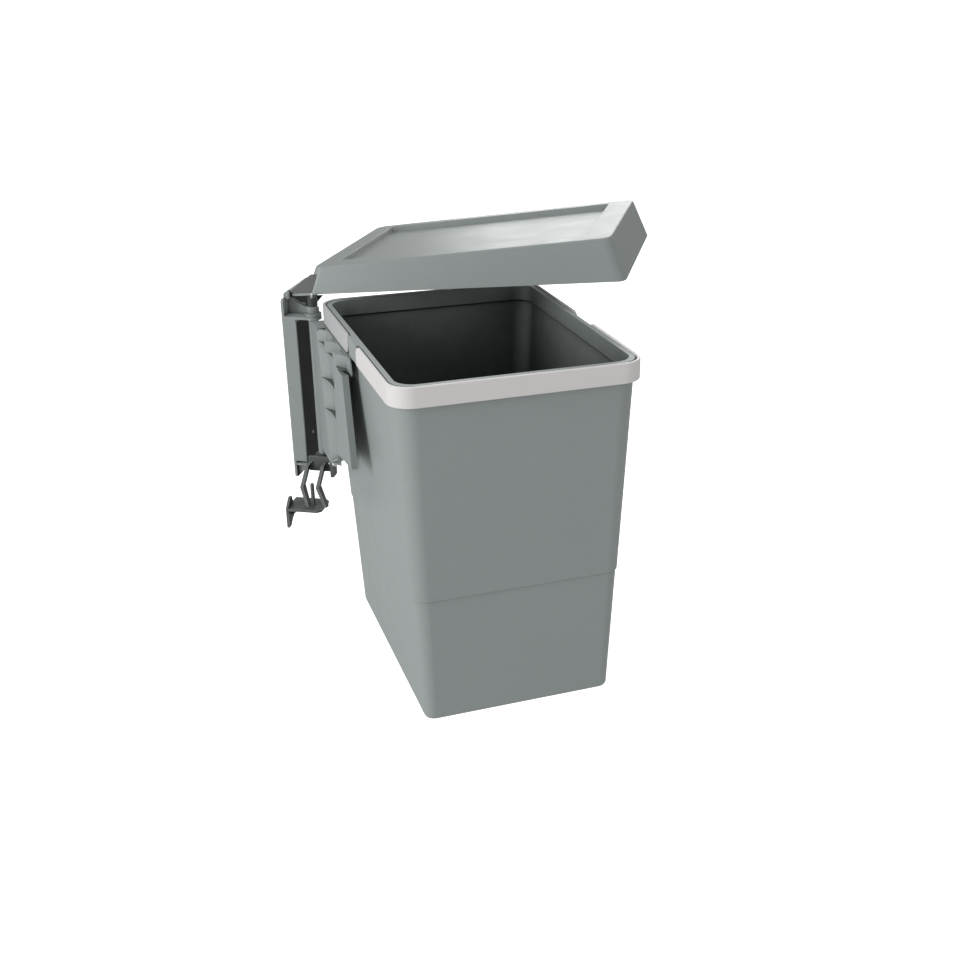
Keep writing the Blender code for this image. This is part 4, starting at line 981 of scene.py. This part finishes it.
@dataclass
class Bucket:
    """The bucket with its two carrying handles and their pivots."""

    shop: Workshop
    rim_edge: float = 0.5 * MM
    handle_edge: float = 0.9 * MM

    def faces_in(self, face: bpy.types.MeshPolygon, middle: Vector) -> bool:
        """Whether a face of the bucket looks into it.

        Args:
            face: The face.
            middle: The middle of the bucket.

        Returns:
            True for the inner walls and the floor.
        """
        if face.normal.z > FACES_UP:
            return face.center.z < middle.z
        arm = face.center - middle
        return face.normal.x * arm.x + face.normal.y * arm.y < 0.0

    def build(self) -> None:
        """Makes and dresses the bucket and its handles."""
        bucket = self.shop.rounded("bucket", "bucket_moulding", self.rim_edge, GREY_BUCKET,
                                   Body.BIN)
        low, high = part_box("bucket")
        middle = (Vector(low) + Vector(high)) / 2
        # Faces that look into the bucket get painted shade.
        self.shop.tint(bucket, SHADED_INSIDE, lambda face: self.faces_in(face, middle))
        # The rear handle takes the painted shade copy of the handle plastic.
        for node, finish in (("front_handle", PALE_HANDLE), ("rear_handle", SHADED_REAR_HANDLE)):
            self.shop.rounded(node, f"{node}_moulding", self.handle_edge, finish, Body.BIN)
        for end in ("front", "rear"):
            for side in ("left", "right"):
                self.shop.dress_node(f"handle_stud_{end}_{side}", PALE_HANDLE)


@dataclass
class DoorSide:
    """The guide pin in the fork and the bracket on the cabinet's door."""

    shop: Workshop
    edge: float = 0.35 * MM

    def build(self) -> None:
        """Makes and dresses the door side."""
        self.shop.dress_node("guide_pin", GREY_SMALL)
        self.shop.rounded("door_bracket", "door_bracket_moulding", self.edge, GREY_SMALL, Body.DOOR,
                          FINE_STEPS)


# ---------------------------------------------------------------- studio


@dataclass
class SoftBox:
    """A rectangular soft light aimed at a point."""

    name: str
    place: Point
    aim: Point
    size: tuple[float, float]
    power: float
    colour: Colour = (1.0, 1.0, 1.0)

    def build(self) -> None:
        """Makes the light."""
        data = bpy.data.lights.new(self.name, "AREA")
        data.shape = "RECTANGLE"
        data.size, data.size_y = self.size
        data.energy = self.power
        data.color = self.colour
        lamp = bpy.data.objects.new(self.name, data)
        lamp.location = self.place
        ray = Vector(self.aim) - Vector(self.place)
        lamp.rotation_euler = ray.to_track_quat("-Z", "Y").to_euler()
        bpy.context.scene.collection.objects.link(lamp)


@dataclass
class Studio:
    """Camera, soft light and pale floor."""

    camera_place: Point = (0.4709, -1.2111, 0.42245)
    camera_turn: Point = (65.83, 0.0, 9.89)
    lens: float = 47.12
    sensor: float = 36.0
    shift: tuple[float, float] = (-0.05663, 0.02163)
    clip: tuple[float, float] = (0.01, 200.0)
    floor_drop: float = 0.10
    floor_half: float = 70.0
    floor_grey: float = 0.60
    floor_roughness: float = 0.9
    floor_specular: float = 0.1
    sky: float = 0.47
    lights: tuple[SoftBox, ...] = (
        SoftBox("left_softbox", (-1.70, -1.85, 0.7), (0.15, -0.1, 0.0), (1.8, 1.6), 46.0),
        SoftBox("top_softbox", (0.3, -0.3, 2.4), (0.2, -0.1, 0.0), (1.6, 1.2), 15.0),
        SoftBox("right_softbox", (2.5, -1.4, 0.5), (0.2, -0.2, -0.1), (1.4, 1.4), 7.5),
        SoftBox("back_softbox", (-0.05, 2.4, 0.62), (0.25, 0.0, 0.12), (0.95, 0.8), 10.5),
    )

    def build(self) -> None:
        """Sets up camera, lights, sky and floor."""
        scene = bpy.context.scene
        data = bpy.data.cameras.new("camera")
        data.lens = self.lens
        data.sensor_width = self.sensor
        data.shift_x, data.shift_y = self.shift
        data.clip_start, data.clip_end = self.clip
        camera = bpy.data.objects.new("camera", data)
        camera.location = self.camera_place
        camera.rotation_euler = [math.radians(turn) for turn in self.camera_turn]
        scene.collection.objects.link(camera)
        scene.camera = camera
        scene.view_settings.view_transform = "Standard"
        for light in self.lights:
            light.build()
        self.build_sky()
        self.build_floor()

    def build_sky(self) -> None:
        """Makes the even sky, which the camera sees as white."""
        world = bpy.data.worlds.new("studio")
        world.use_nodes = True
        nodes, links = world.node_tree.nodes, world.node_tree.links
        nodes["Background"].inputs["Color"].default_value = WHITE
        seen = nodes.new("ShaderNodeLightPath")
        strength = nodes.new("ShaderNodeMath")
        strength.operation = "MULTIPLY_ADD"
        strength.inputs[1].default_value = 1.0 - self.sky
        strength.inputs[2].default_value = self.sky
        links.new(seen.outputs["Is Camera Ray"], strength.inputs[0])
        links.new(strength.outputs[0], nodes["Background"].inputs["Strength"])
        bpy.context.scene.world = world

    def build_floor(self) -> None:
        """Makes the pale floor under the part."""
        mesh = bmesh.new()
        bmesh.ops.create_grid(mesh, x_segments=1, y_segments=1, size=self.floor_half)
        low = CAD_BOX[0][2] - self.floor_drop
        bmesh.ops.translate(mesh, verts=mesh.verts, vec=(0.0, 0.0, low))
        data = bpy.data.meshes.new("floor")
        mesh.to_mesh(data)
        mesh.free()
        floor = bpy.data.objects.new("floor", data)
        bpy.context.scene.collection.objects.link(floor)
        made = bpy.data.materials.new("pale_floor")
        made.use_nodes = True
        shader = made.node_tree.nodes["Principled BSDF"]
        shader.inputs["Base Color"].default_value = (*(self.floor_grey,) * 3, 1.0)
        shader.inputs["Roughness"].default_value = self.floor_roughness
        shader.inputs["Specular IOR Level"].default_value = self.floor_specular
        shader.inputs["Emission Color"].default_value = WHITE
        seen = made.node_tree.nodes.new("ShaderNodeLightPath")
        made.node_tree.links.new(seen.outputs["Is Camera Ray"], shader.inputs["Emission Strength"])
        data.materials.append(made)


def main() -> None:
    """Builds and dresses every sub-assembly in order, then the studio."""
    logging.basicConfig(level=logging.INFO, format="%(name)s: %(message)s")
    shop = Workshop()
    for part in (WallSide(shop), Carrier(shop), Lid(shop), Bucket(shop), DoorSide(shop)):
        log.info("building %s", type(part).__name__)
        part.build()
    Studio().build()


if __name__ == "__main__":
    main()
